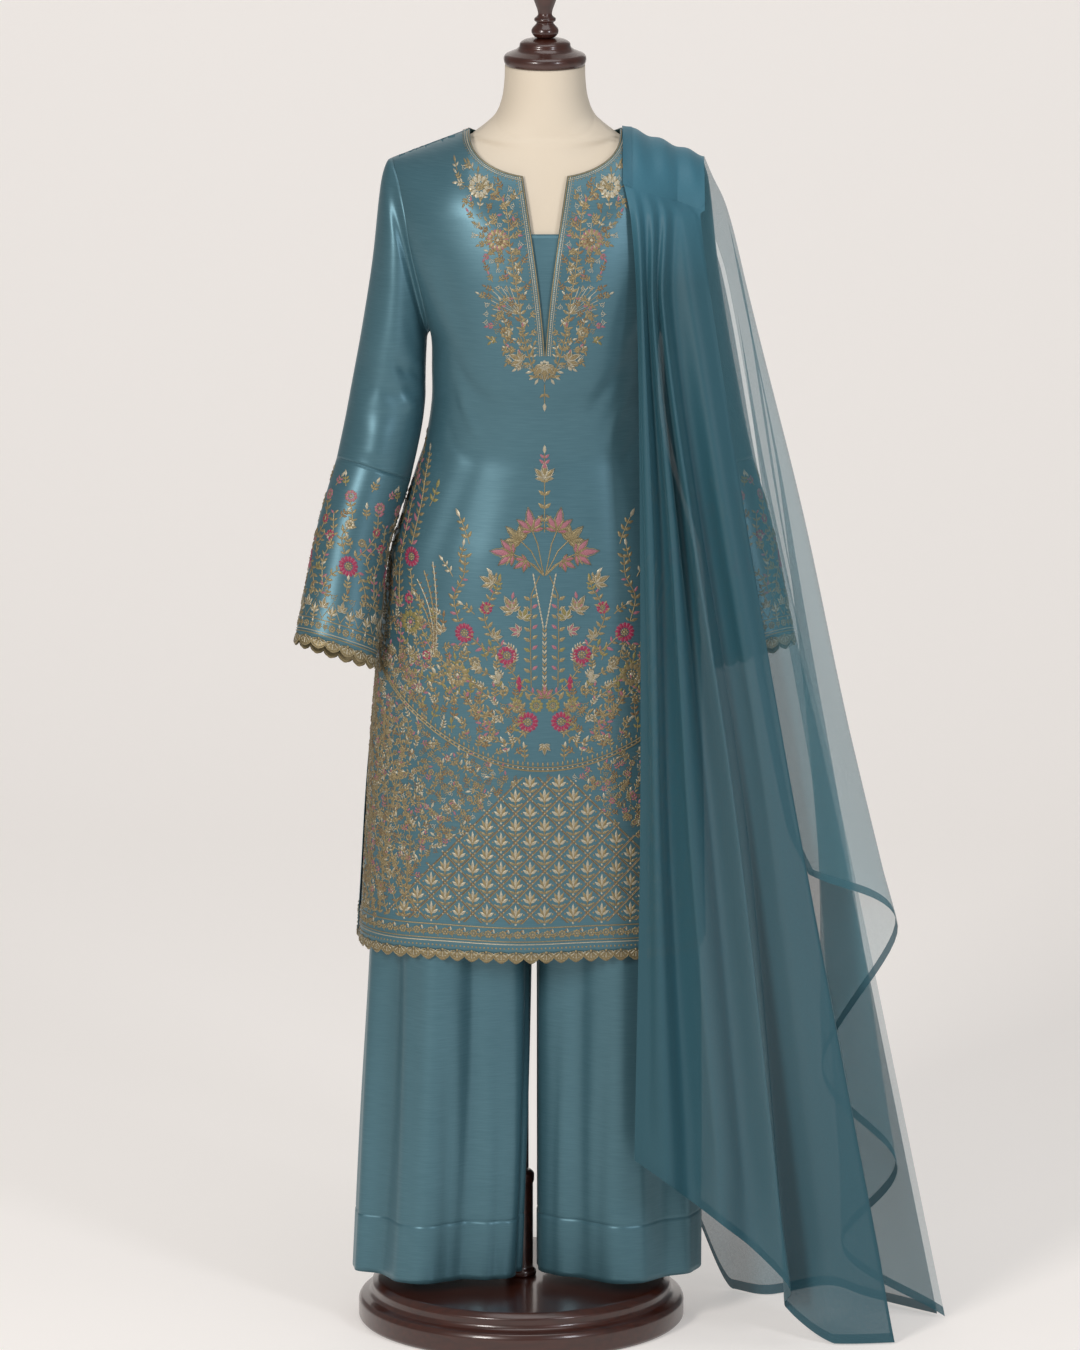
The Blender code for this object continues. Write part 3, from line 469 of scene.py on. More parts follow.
# %% Form and stand materials
def make_jersey():
    """Fine cream jersey stretched over the form."""
    jersey = new_material("cream_jersey", linear("cfc3b0"), Roughness=0.85, Sheen_Weight=0.1)
    knit = stretched_noise(jersey, (1300.0, 1300.0, 900.0), 2.0)
    patches = stretched_noise(jersey, (9.0, 9.0, 9.0), 3.0)
    tone = add_node(jersey, "ShaderNodeMix", {
        0: (patches, "Fac"), 6: linear("d4c9b7"), 7: linear("c9bca8")}, data_type="RGBA")
    link_shader(jersey, "Base Color", tone, 2)
    bump = add_node(jersey, "ShaderNodeBump", {"Height": (knit, "Fac"), "Strength": 0.15, "Distance": 0.0003})
    link_shader(jersey, "Normal", bump, "Normal")
    return jersey


def make_wood():
    """Dark stained hardwood under a clear lacquer. The grain runs level, round the turning."""
    wood = new_material(
        "dark_lacquered_wood", linear("34170f"), Roughness=0.32, Coat_Weight=0.6,
        Coat_Roughness=0.12, IOR=1.5,
    )
    grain = stretched_noise(wood, (14.0, 160.0, 160.0), 5.0)
    tone = add_node(wood, "ShaderNodeMix", {
        0: (grain, "Fac"), 6: linear("1f0c08"), 7: linear("4a2216")}, data_type="RGBA")
    link_shader(wood, "Base Color", tone, 2)
    bump = add_node(wood, "ShaderNodeBump", {"Height": (grain, "Fac"), "Strength": 0.06, "Distance": 0.0003})
    link_shader(wood, "Normal", bump, "Normal")
    return wood


jersey = make_jersey()
wood = make_wood()
print("Form and stand materials:", jersey.name, wood.name)

# %% [markdown]
# ## The stand
# Each wooden piece is turned on a lathe: its profile spins round an upright axis. The
# profile's corners are eased with a small round, as sandpaper leaves them.


# %% The stand
def eased(profile, radius=0.0022, steps=4):
    """Rounds the corners of a profile."""
    points = [np.array(point, float) for point in profile]
    line = [points[0]]
    for before, corner, after in zip(points, points[1:], points[2:]):
        start_off, end_off = before - corner, after - corner
        reach = min(radius, 0.45 * np.linalg.norm(start_off), 0.45 * np.linalg.norm(end_off))
        start = corner + start_off / np.linalg.norm(start_off) * reach
        end = corner + end_off / np.linalg.norm(end_off) * reach
        for i in range(steps + 1):
            t = i / steps
            line.append((1 - t) ** 2 * start + 2 * t * (1 - t) * corner + t**2 * end)
    return line + [points[-1]]


def turn_piece(node, profile, sides, at=(0.0, 0.0), radius=0.0022):
    """Turns a profile round an upright axis and shows it for its CAD node."""
    line = eased(profile, radius)
    angles = np.linspace(0.0, 2 * math.pi, sides, endpoint=False)
    rings = np.array([
        [(at[0] + r * math.cos(a), at[1] + r * math.sin(a), z) for a in angles] for r, z in line
    ])
    item = add_cloth(f"{node}_turned", [rings], wood, wrap=True)
    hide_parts(node)
    return item


BASE_TOP = 0.052
CAP_Z0 = 1.5478
FINIAL_Z0 = CAP_Z0 + 0.0333
NECK_AT = (CENTRE_X, 0.005)
base_profile = (
    (0.0, BASE_TOP), (0.150, BASE_TOP), (0.175, BASE_TOP), (0.183, 0.046), (0.183, 0.037), (0.186, 0.033),
    (0.196, 0.030), (0.199, 0.025), (0.199, 0.004), (0.195, 0.0), (0.0, 0.0),
)
lower_profile = (
    (0.0, 0.186), (0.0110, 0.186), (0.0160, 0.181), (0.0160, 0.172), (0.0145, 0.168), (0.0145, 0.0623),
    (0.0185, 0.0593), (0.0185, 0.0523), (0.0, 0.0523),
)
upper_profile = ((0.0, 0.8637), (0.0092, 0.8637), (0.0092, 0.1863), (0.0, 0.1863))
cap_profile = (
    (0.0, 0.0330), (0.0120, 0.0330), (0.0255, 0.0305), (0.0305, 0.0270), (0.0305, 0.0225), (0.0350, 0.0185),
    (0.0470, 0.0135), (0.0495, 0.0105), (0.0495, 0.0050), (0.0470, 0.0), (0.0, 0.0),
)
finial_profile = (
    (0.0, 0.1140), (0.0060, 0.1120), (0.0085, 0.1060), (0.0060, 0.1000), (0.0055, 0.0960), (0.0150, 0.0880),
    (0.0200, 0.0760), (0.0190, 0.0640), (0.0145, 0.0480), (0.0090, 0.0330), (0.0080, 0.0270), (0.0130, 0.0235),
    (0.0130, 0.0205), (0.0095, 0.0180), (0.0160, 0.0110), (0.0165, 0.0060), (0.0120, 0.0), (0.0, 0.0),
)
turn_piece("base", base_profile, 160)
turn_piece("pole_lower", lower_profile, 48)
turn_piece("pole_upper", upper_profile, 40)
turn_piece("neck_cap", [(r, CAP_Z0 + h) for r, h in cap_profile], 96, NECK_AT, 0.003)
turn_piece("finial", [(r, FINIAL_Z0 + h) for r, h in finial_profile], 64, NECK_AT, 0.006)
print("The stand has 5 turned pieces")

# %% [markdown]
# ## The dress form
# The form is a padded torso under stretched jersey. Its panels meet in fine sunk seams:
# one down the centre front and one round the base of the neck.


# %% The dress form
def form_rings(heights, sides):
    """Rings of the torso and neck, blended."""
    angle = np.linspace(0.0, 2 * math.pi, sides, endpoint=False)[None, :]
    z = np.asarray(heights)[:, None] + 0 * angle
    half, neck_half, neck_front, neck_back = np.moveaxis(read_table(FORM, z), -1, 0)
    reach = NECK_HALF + (NECK_Z - FORM_SHOULDER_DROP - z) / RIDGE_SLOPE
    half = np.minimum(half, np.maximum(reach, neck_half))
    centre_x = section(z)[0]
    inset = np.where(z > 1.2, CHEST_INSET, FORM_INSET)
    _, _, front, back = section(z, inset)
    share = np.abs(np.sin(angle)) ** (2 / SECTION_POWER)
    dx = half * share
    is_front = np.cos(angle) > 0
    drop = ridge_height(np.maximum(dx, NECK_HALF)) - FORM_SHOULDER_DROP - z
    roundness = np.where(is_front, round_height(dx, -1), round_height(dx, 1))
    taper = np.sqrt(1.0 - (1.0 - np.clip(drop / roundness, 0.0, 1.0)) ** 2)
    body = np.where(is_front, front, back) * depth_share(share) * taper
    neck = np.where(is_front, neck_front, neck_back) * np.sqrt(np.maximum(1.0 - (dx / neck_half) ** 2, 0.0))
    depth = (body**6 + neck**6) ** (1 / 6)
    facing = np.where(is_front, -1.0, 1.0)
    side = np.where(np.sin(angle) >= 0, 1.0, -1.0)
    return np.stack([centre_x + side * dx, SHOULDER_Y * (1.0 - taper) + facing * depth, z], axis=-1)


form_levels = np.concatenate([np.linspace(0.864, 1.40, 70), np.linspace(1.404, 1.5475, 70)])
rings = form_rings(form_levels, 192)
turn = np.linspace(0.0, 360.0, 192, endpoint=False)[None, :]
neck_seam_z = 1.492 - 0.030 * np.cos(np.radians(turn)) + 0.004
centre_seam = np.exp(-((np.minimum(turn, 360 - turn) / 0.9) ** 2)) * (rings[..., 2] < neck_seam_z)
neck_seam = np.exp(-(((rings[..., 2] - neck_seam_z) / 0.0011) ** 2))
rings = rings + normals(rings, wrap=True) * (-0.0007 * np.maximum(centre_seam, neck_seam))[..., None]
lid = [rings[0] * (1 - t) + rings[0].mean(axis=0) * t for t in (0.999, 0.6, 0.3)]
top = [rings[-1] * (1 - t) + rings[-1].mean(axis=0) * t for t in (0.3, 0.6, 0.999)]
form = add_cloth("form_torso_jersey", [np.array(lid + list(rings) + top)], jersey, wrap=True)
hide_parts("form_torso")
print("The form is", round(rings[..., 2].max() - rings[..., 2].min(), 3), "m high")

# %% [markdown]
# ## The kameez
# The front and back are cut straight, with a round neck, a long slit in front and side
# slits. The armhole edge has the sleeve's own curve. Silk of this weight falls in long
# soft flutes, with short creases where it turns at the waist, underarm and hip.


# %% Shape of the kameez
SIDE_SLIT_Z = 0.76
SIDE_SLIT_FULL_Z = 0.60
FRONT_EDGE_OFF = 0.005
BACK_EDGE_OFF = 0.008
BACK_EDGE_WIDER = 0.003
FLUTE_Z = 0.98
FLUTE_DEPTH = 0.0045
FLUTE_WAVES = 7.0
FLUTE_LEAN = 0.6
GIRTH_RADIUS = 0.152


def kameez_points(dx, z, side, facing):
    """Points of the kameez's front or back, with its flutes and side slits."""
    centre_x, half, _, _ = section(z)
    open_side = 1.0 - ramp(z, SIDE_SLIT_FULL_Z, SIDE_SLIT_Z)
    share = np.minimum(dx / half, 1.0)
    fluting = FLUTE_DEPTH * (1.0 - ramp(z, HEM_Z, FLUTE_Z)) * (1.0 - share**4)
    y = surface_y(dx, z, facing) + facing * fluting * np.cos(FLUTE_WAVES * share + FLUTE_LEAN * side)
    y = y + facing * (SEAM_HALF_GAP + TIP_GAP * ramp(z, UNDERARM_Z, SHOULDER_Z))
    y = y + np.where(facing < 0, -FRONT_EDGE_OFF, BACK_EDGE_OFF) * open_side
    wider = BACK_EDGE_WIDER * open_side * share if facing > 0 else 0.0
    return np.stack([centre_x + side * (dx + wider), y, z], axis=-1)


def kameez_rows(inner, outer, side, facing, columns):
    """Rows of points between inner and outer lists of (dx, z)."""
    inner, outer = np.array(inner), np.array(outer)
    share = np.linspace(0.0, 1.0, columns + 1)[None, :]
    start = to_angle(inner[:, 0], section(inner[:, 1])[1])[:, None]
    end = to_angle(outer[:, 0], section(outer[:, 1])[1])[:, None]
    z = lerp(inner[:, 1:], outer[:, 1:], share)
    dx = from_angle(lerp(start, end, share), section(z)[1])
    dx[:, 0], dx[:, -1] = inner[:, 0], outer[:, 0]
    return kameez_points(dx, np.minimum(z, ridge_height(dx)), side, facing)


def armhole_height(angle):
    """Height on the armhole seam: 0 is the shoulder tip, pi the underarm."""
    reach = (SHOULDER_Z - UNDERARM_Z) / 2
    return (SHOULDER_Z + UNDERARM_Z) / 2 + reach * np.cos(angle)


def kameez_half(side, facing, columns=56, low_rows=120, arm_rows=66):
    """Half of the front or back, from the hem to the shoulder seam."""
    t = np.linspace(0.0, 1.0, low_rows + 1)
    inner = [(0.0, z) for z in lerp(HEM_Z, SLIT_BOTTOM_Z, t)]
    outer = [(float(section(z)[1]), z) for z in lerp(HEM_Z, UNDERARM_Z, t)]
    start = math.asin(SLIT_HALF / NECK_HALF) if facing < 0 else 0.0
    drop = NECK_DROP if facing < 0 else BACK_NECK_DROP
    slit_top = SLIT_TOP_Z if facing < 0 else NECK_Z - drop
    straight = round(arm_rows * 5 / 11)
    for i in range(1, arm_rows + 1):
        outer_z = float(armhole_height(math.pi * (1.0 - i / arm_rows)))
        if i <= straight:
            t = i / straight
            inner.append((SLIT_HALF * t**1.35 if facing < 0 else 0.0, lerp(SLIT_BOTTOM_Z, slit_top, t)))
        else:
            angle = lerp(start, math.pi / 2, (i - straight) / (arm_rows - straight))
            inner.append((NECK_HALF * math.sin(angle), NECK_Z - drop * math.cos(angle)))
        outer.append((float(read_table(ARMHOLE, outer_z)[0]), outer_z))
    return kameez_rows(inner, outer, side, facing, columns)


print("Underarm height:", UNDERARM_Z)

# %% Creases of the kameez
FRONT_CREASES = (
    # start and end on the flat cloth (across from the centre, height), width, depth (minus is a trough)
    (-0.135, 1.205, -0.060, 1.150, 0.010, -0.0022),
    (-0.128, 1.175, -0.075, 1.105, 0.009, 0.0018),
    (0.132, 1.210, 0.050, 1.140, 0.011, -0.0020),
    (0.125, 1.170, 0.080, 1.100, 0.009, 0.0016),
    (-0.150, 1.120, -0.085, 1.085, 0.008, -0.0018),
    (0.150, 1.118, 0.095, 1.075, 0.008, -0.0016),
    (-0.120, 1.330, -0.095, 1.230, 0.016, -0.0016),
    (0.118, 1.335, 0.092, 1.225, 0.015, -0.0016),
    (-0.075, 1.120, -0.110, 0.860, 0.018, -0.0024),
    (-0.030, 1.080, -0.042, 0.700, 0.022, 0.0018),
    (0.040, 1.095, 0.062, 0.740, 0.020, -0.0022),
    (0.100, 1.060, 0.135, 0.760, 0.018, 0.0022),
    (-0.150, 0.980, -0.185, 0.620, 0.020, 0.0022),
    (0.010, 0.760, 0.014, 0.520, 0.020, -0.0016),
    (-0.105, 0.800, -0.118, 0.540, 0.018, -0.0018),
    (0.155, 0.900, 0.190, 0.560, 0.020, -0.0022),
    (-0.215, 0.860, -0.232, 0.560, 0.014, -0.0020),
    (0.215, 0.820, 0.235, 0.540, 0.014, 0.0018),
)
BACK_CREASES = (
    (-0.130, 1.215, -0.070, 1.120, 0.011, -0.0022),
    (0.128, 1.212, 0.062, 1.128, 0.011, -0.0022),
    (-0.090, 1.120, -0.030, 1.090, 0.008, 0.0018),
    (0.095, 1.112, 0.025, 1.082, 0.008, 0.0016),
    (-0.125, 1.090, -0.060, 1.060, 0.008, -0.0018),
    (-0.060, 1.080, -0.075, 0.640, 0.022, -0.0024),
    (0.020, 1.060, 0.026, 0.560, 0.024, 0.0020),
    (0.085, 1.070, 0.110, 0.600, 0.020, -0.0024),
    (-0.140, 0.980, -0.175, 0.560, 0.020, 0.0022),
    (0.170, 0.930, 0.205, 0.540, 0.018, -0.0022),
    (-0.100, 1.370, -0.040, 1.250, 0.018, -0.0014),
    (0.100, 1.365, 0.045, 1.255, 0.018, -0.0014),
)


def kameez_relief(points, side, facing, table):
    """Moves points of the kameez in and out along its creases, and eases them at the edges."""
    centre_x, half, _, _ = section(points[..., 2])
    dx = np.abs(points[..., 0] - centre_x)
    across = side * GIRTH_RADIUS * to_angle(dx, half)
    relief = creases(across, points[..., 2], table)
    keep = 1.0 - ramp(to_angle(dx, half), 1.30, 1.54)
    keep = keep * (1.0 - ramp(points[..., 2], 1.32, 1.42))
    out = normals(points)
    out = out * np.sign((out[..., 1:2] * facing).mean())
    out[:, 0] = (0.0, facing, 0.0)
    return points + out * (relief * keep)[..., None]


def kameez_panel(facing, table):
    return [kameez_relief(kameez_half(side, facing), side, facing, table) for side in (-1, 1)]


kameez_front = add_cloth("kameez_front_silk", kameez_panel(-1, FRONT_CREASES), silk, wall=0.0007)
kameez_back = add_cloth("kameez_back_silk", kameez_panel(1, BACK_CREASES), silk, wall=0.0007)
for item, node in ((kameez_front, "kameez_front"), (kameez_back, "kameez_back")):
    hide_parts(node)
    print(node, "area", round(area_of(item), 4))

# %% [markdown]
# ## The inset, sleeves and cuffs
# The inset panel closes the lower half of the neck slit from behind. Each sleeve is one
# piece set into the armhole, and the worked cuff panel is sewn to its end. The cloth
# breaks in short slanting creases at the elbow and underarm.


# %% The inset panel
INSET_HALF, INSET_LOW, INSET_HIGH, INSET_BEHIND = 0.034, 1.188, 1.362, 0.0030
inset_z = np.linspace(INSET_LOW, INSET_HIGH, 30)[:, None] + np.zeros((1, 17))
inset_dx = np.linspace(-INSET_HALF, INSET_HALF, 17)[None, :] + np.zeros((30, 1))
inset_y = surface_y(inset_dx, inset_z, -1) + INSET_BEHIND
inset_points = np.stack([section(inset_z)[0] + inset_dx, inset_y, inset_z], axis=-1)
inset = add_cloth("inset_panel_silk", [inset_points], silk, wall=0.0006, flip=True)
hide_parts("inset_panel")
print("Inset area", round(area_of(inset), 4))


# %% Shape of the sleeves
def sleeve_ring(row, angle, side):
    """One ring of a sleeve: angle 0 is its outer side, 90 degrees its front."""
    outer_dx, outer_z, inner_dx, inner_z, middle_y, half_depth, tilt = row
    tilt = math.radians(tilt)
    dx = (outer_dx + inner_dx) / 2 + (outer_dx - inner_dx) / 2 * np.cos(angle)
    z = (outer_z + inner_z) / 2 + (outer_z - inner_z) / 2 * np.cos(angle)
    y = middle_y - half_depth * math.cos(tilt) * np.sin(angle)
    z = z + half_depth * math.sin(tilt) * np.sin(angle)
    return np.stack([CENTRE_X + side * dx, y, z], axis=-1)


def armhole_ring(angle, side):
    """The sleeve's first ring, along the armhole seam."""
    z = armhole_height(angle)
    dx = read_table(ARMHOLE, z)[..., 0]
    facing = np.where(np.sin(angle) >= 0, -1.0, 1.0)
    y = np.where(facing < 0, surface_y(dx, z, -1), surface_y(dx, z, 1))
    y = y + facing * (SEAM_HALF_GAP + TIP_GAP * ramp(z, UNDERARM_Z, SHOULDER_Z))
    return np.stack([CENTRE_X + side * dx, y, z], axis=-1)


SLEEVE_CREASES = (
    # start and end: degrees round the sleeve from its outer side, and share of its length; width, depth
    (60, 0.05, 78, 0.62, 0.055, 0.0036),
    (96, 0.10, 104, 0.80, 0.050, -0.0034),
    (128, 0.30, 118, 0.72, 0.040, 0.0022),
    (150, 0.42, 92, 0.54, 0.028, -0.0040),
    (146, 0.55, 84, 0.68, 0.026, -0.0034),
    (152, 0.72, 96, 0.60, 0.024, 0.0026),
    (30, 0.55, 62, 0.70, 0.030, -0.0018),
    (24, 0.30, 40, 0.95, 0.045, 0.0020),
    (-40, 0.15, -62, 0.80, 0.055, -0.0024),
    (-95, 0.20, -88, 0.90, 0.050, 0.0022),
    (-140, 0.45, -95, 0.60, 0.028, -0.0022),
    (76, 0.78, 88, 1.00, 0.040, 0.0018),
)
DEGREE = 0.0085


def sleeve_relief(points, table):
    """Creases of a sleeve, none at its two seams."""
    rows, columns = points.shape[:2]
    turn = np.degrees(np.linspace(0.0, 2 * math.pi, columns, endpoint=False))
    turn = np.where(turn > 180, turn - 360, turn)[None, :] * DEGREE + np.zeros((rows, 1))
    share = np.linspace(0.0, 1.0, rows)[:, None] + np.zeros((1, columns))
    scaled = [(a * DEGREE, b, c * DEGREE, d, w * 5.0, h) for a, b, c, d, w, h in table]
    relief = creases(turn, share * 3.0, [(a, b * 3.0, c, d * 3.0, w, h) for a, b, c, d, w, h in scaled])
    keep = ramp(share, 0.02, 0.14) * (1.0 - ramp(share, 0.93, 0.995))
    out = normals(points, wrap=True)
    middle = points.mean(axis=1, keepdims=True)
    out = out * np.sign((out * (points - middle)).sum(axis=-1).mean())
    return points + out * (relief * keep)[..., None]


def build_sleeve(name, side):
    """A sleeve and its cuff panel."""
    angle = np.linspace(0.0, 2 * math.pi, 120, endpoint=False)
    rings = [armhole_ring(angle, side)] + [sleeve_ring(row, angle, side) for row in SLEEVE]
    tube = sleeve_relief(resample(np.array(rings), 80), SLEEVE_CREASES)
    sleeve = add_cloth(f"sleeve_{name}_silk", [tube], silk, wall=0.0007, wrap=True)
    rings = [sleeve_ring(row, angle, side) for row in (SLEEVE[-1],) + CUFF_PANEL[1:]]
    cuff_tube = resample(np.array(rings), 40)
    cuff = add_cloth(f"cuff_panel_{name}_silk", [cuff_tube], silk, wall=0.0007, wrap=True)
    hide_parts(f"sleeve_{name}")
    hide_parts(f"cuff_panel_{name}")
    for item in (sleeve, cuff):
        print(item.name, "area", round(area_of(item), 4))
    return sleeve, cuff, cuff_tube


sleeve_right, cuff_right, cuff_tube_right = build_sleeve("right", -1)
sleeve_left, cuff_left, cuff_tube_left = build_sleeve("left", 1)

# %% [markdown]
# ## The palazzo trousers
# Each wide leg has a front and a back panel. The silk falls from the hip in long upright
# folds, deeper towards the hem, and a deep hem is turned up and stitched. The inner seam
# of the right leg stands open near the floor, where the stand's pole passes.

# %% Shape of the trousers
LEG_SEAM_X = 0.0163
LEG_FLUTE = 0.006
INSEAM_OPEN_Z = 0.44
INSEAM_WIDE_Z = 0.24
INSEAM_SPREAD = 0.030
HEM_TURN_UP = 0.072
TROUSER_TOP_FROM_Z = 1.022


def leg_points(z, share, leg, facing):
    """Points of a leg: share 0 is its inner seam, 1 its outer seam."""
    right_outer, right_inner, left_inner, left_outer, front, back = np.moveaxis(read_table(LEGS, z), -1, 0)
    inner, outer = (right_inner, right_outer) if leg < 0 else (left_inner, left_outer)
    angle = math.pi * share
    depth = front if facing < 0 else back
    flute = LEG_FLUTE * (1.0 - ramp(z, 0.30, 0.80)) * np.sin(3.0 * angle) * np.sin(angle)
    x = (inner + outer) / 2 - (outer - inner) / 2 * np.cos(angle)
    y = facing * (depth * np.sin(angle) - flute)
    if leg < 0:
        spread = INSEAM_SPREAD * (1.0 - ramp(z, INSEAM_WIDE_Z, INSEAM_OPEN_Z)) * (1.0 - np.sin(angle))
        y = y + facing * spread * (share < 0.5)
    return np.stack([x, y + facing * SEAM_HALF_GAP, z], axis=-1)


def hip_points(z, share, leg, facing):
    """Points of the trousers on the hips: share 0 is the centre seam, 1 the side seam."""
    inset = lerp(TROUSER_INSET, WAISTBAND_INSET, ramp(z, TROUSER_TOP_FROM_Z, WAISTBAND_BOTTOM_Z))
    centre_x, half, front, back = section(z, inset)
    dx = from_angle(share * math.pi / 2, half)
    depth = (front if facing < 0 else back) * depth_share(dx / half)
    seam_x = lerp(LEG_SEAM_X, centre_x, ramp(z, CROTCH_Z, WAISTBAND_BOTTOM_Z))
    x = seam_x + leg * 2 * SEAM_HALF_GAP * (1.0 - share) + leg * dx + (centre_x - seam_x) * share
    return np.stack([x, facing * (depth + SEAM_HALF_GAP), z], axis=-1)


LEG_FOLDS = (
    # start and end: share across the panel, height; width, depth
    (0.24, 0.72, 0.22, -0.20, 0.070, 0.0085),
    (0.40, 0.70, 0.42, -0.20, 0.055, -0.0085),
    (0.57, 0.74, 0.60, -0.20, 0.075, 0.0090),
    (0.76, 0.70, 0.78, -0.20, 0.060, -0.0080),
    (0.10, 0.50, 0.09, -0.20, 0.040, -0.0040),
    (0.49, 0.42, 0.47, -0.20, 0.028, -0.0030),
    (0.67, 0.55, 0.65, -0.20, 0.030, 0.0034),
    (0.31, 0.40, 0.32, -0.20, 0.026, 0.0030),
    (0.88, 0.60, 0.88, -0.20, 0.040, 0.0040),
    (0.46, 0.78, 0.62, 0.62, 0.040, -0.0030),
    (0.28, 0.80, 0.40, 0.66, 0.036, 0.0028),
)


def trouser_panel(leg, facing, rows=150, columns=64):
    """One panel of a leg, with its folds and turned-up hem."""
    seam_z = TROUSER_HEM_Z + HEM_TURN_UP
    levels = np.linspace(TROUSER_HEM_Z, WAISTBAND_BOTTOM_Z - 0.0005, rows)
    near_seam = seam_z + np.array((-0.005, -0.003, -0.002, -0.001, 0.0, 0.001, 0.002, 0.003, 0.005))
    levels = np.sort(np.concatenate([levels[np.abs(levels - seam_z) > 0.006], near_seam]))
    z = levels[:, None] + np.zeros((1, columns))
    share = np.linspace(0.0, 1.0, columns)[None, :] + np.zeros((len(levels), 1))
    weight = ramp(z, CROTCH_Z, RISE_Z)[..., None]
    points = leg_points(z, share, leg, facing) * (1 - weight) + hip_points(z, share, leg, facing) * weight
    shift = 0.03 * leg * facing
    folds = [(a + shift, b, c + shift, d, w, h * (1.0 + 0.25 * leg * facing)) for a, b, c, d, w, h in LEG_FOLDS]
    relief = creases(share, z, folds)
    keep = ramp(share, 0.0, 0.08) * (1.0 - ramp(share, 0.92, 1.0)) * (1.0 - ramp(z, 0.62, 0.76))
    turned = 0.0005 * (1.0 - ramp(z, seam_z - 0.001, seam_z + 0.001))
    stitch_line = -0.0008 * np.exp(-(((z - seam_z) / 0.0018) ** 2))
    out = normals(points)
    out = out * np.sign((out[..., 1] * facing).mean())
    return points + out * (relief * keep + turned + stitch_line)[..., None]


trousers = {}
for leg_name, leg in (("right", -1), ("left", 1)):
    for face_name, facing in (("front", -1), ("back", 1)):
        node = f"trouser_{leg_name}_{face_name}"
        trousers[node] = add_cloth(f"{node}_silk", [trouser_panel(leg, facing)], silk, wall=0.0007)
        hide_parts(node)
        print(node, "area", round(area_of(trousers[node]), 4))


# %% The waistband
def waistband_rings(rows=16, sides=240):
    """A gathered band, drawn in by the elastic that it covers."""
    angle = np.linspace(0.0, 2 * math.pi, sides, endpoint=False)[None, :]
    z = np.linspace(WAISTBAND_BOTTOM_Z, WAISTBAND_TOP_Z, rows)[:, None] + 0 * angle
    gather = 0.0006 * (1.0 + np.cos(60 * angle)) * np.sin(math.pi * (z - WAISTBAND_BOTTOM_Z) / 0.036)
    centre_x, half, front, back = section(z, WAISTBAND_INSET - gather)
    side = np.where(np.sin(angle) >= 0, 1.0, -1.0)
    dx = from_angle(np.arcsin(np.minimum(np.abs(np.sin(angle)), 1.0)), half)
    depth = np.where(np.cos(angle) < 0, front, back)
    facing = np.where(np.cos(angle) < 0, -1.0, 1.0)
    return np.stack([centre_x + side * dx, facing * depth * depth_share(dx / half), z], axis=-1)


waistband = add_cloth("waistband_silk", [waistband_rings()], silk, wall=0.0006, wrap=True)
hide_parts("waistband")
print("Waistband area", round(area_of(waistband), 4))

# %% [markdown]
# ## The dupatta
# The dupatta is one long sheet of organza, gathered over the left shoulder. Its front
# fall hangs in folds down the front, its back fall behind, and its long edge cascades
# at the side. Every fold line runs from the shoulder to the hem, and the cloth is a
# smooth wave through them. A narrow hem is rolled along each edge.

# %% Fold lines of the dupatta
DUPATTA_LIFT = 0.005
DUPATTA_PLEAT = 0.0016
SHOULDER_REACH = math.radians(66)
SHOULDER_INNER_X = 0.1215
SHOULDER_OUTER_X = 0.2165
SHOULDER_FULL_DX = 0.158
SIDE_START = 0.003
PAST_EDGE = math.radians(0.5)
CAP_Z, BUST_Z, WAIST_Z, KNEE_Z = 1.38, 1.28, 1.02, 0.65
FLOOR_Z = 0.0020
FRONT_FOLDS = (
    # x at the shoulder, then x and y at cap, bust, waist and knee, then the hem's x, y and z
    (0.123, 0.131, -0.108, 0.138, -0.119, 0.142, -0.135, 0.143, -0.150, 0.137, -0.150, 0.236),
    (0.134, 0.140, -0.113, 0.145, -0.128, 0.156, -0.148, 0.163, -0.168, 0.177, -0.170, 0.212),
    (0.142, 0.148, -0.104, 0.151, -0.118, 0.167, -0.133, 0.178, -0.148, 0.207, -0.150, 0.184),
    (0.151, 0.157, -0.105, 0.157, -0.127, 0.179, -0.147, 0.201, -0.170, 0.243, -0.176, 0.162),
    (0.160, 0.165, -0.095, 0.163, -0.116, 0.191, -0.131, 0.229, -0.148, 0.279, -0.152, 0.127),
    (0.168, 0.173, -0.095, 0.170, -0.122, 0.204, -0.153, 0.260, -0.180, 0.325, -0.168, 0.081),
    (0.177, 0.182, -0.084, 0.181, -0.104, 0.214, -0.127, 0.269, -0.142, 0.323, -0.104, 0.038),
    (0.187, 0.193, -0.080, 0.203, -0.106, 0.240, -0.143, 0.296, -0.162, 0.380, -0.134, 0.002),
    (0.197, 0.206, -0.072, 0.223, -0.096, 0.266, -0.134, 0.328, -0.154, 0.448, -0.130, 0.002),
    (0.2185, 0.214, -0.066, 0.227, -0.094, 0.269, -0.132, 0.331, -0.152, 0.450, -0.128, 0.002),
)
SIDE_FOLDS = (
    # the first column is the angle in degrees over the shoulder, the others are as above
    (-62, 0.210, -0.064, 0.206, -0.080, 0.250, -0.115, 0.318, -0.134, 0.346, -0.130, 0.586),
    (-27, 0.243, -0.030, 0.269, -0.044, 0.331, -0.074, 0.423, -0.098, 0.455, -0.104, 0.516),
    (-8, 0.243, -0.002, 0.264, -0.006, 0.316, -0.030, 0.358, -0.046, 0.366, -0.054, 0.324),
    (12, 0.240, 0.020, 0.267, 0.024, 0.312, 0.010, 0.383, -0.016, 0.459, -0.036, 0.198),
    (35, 0.230, 0.046, 0.256, 0.056, 0.297, 0.056, 0.352, 0.040, 0.394, 0.014, 0.079),
    (58, 0.216, 0.068, 0.248, 0.084, 0.296, 0.096, 0.383, 0.086, 0.519, -0.013, 0.002),
)
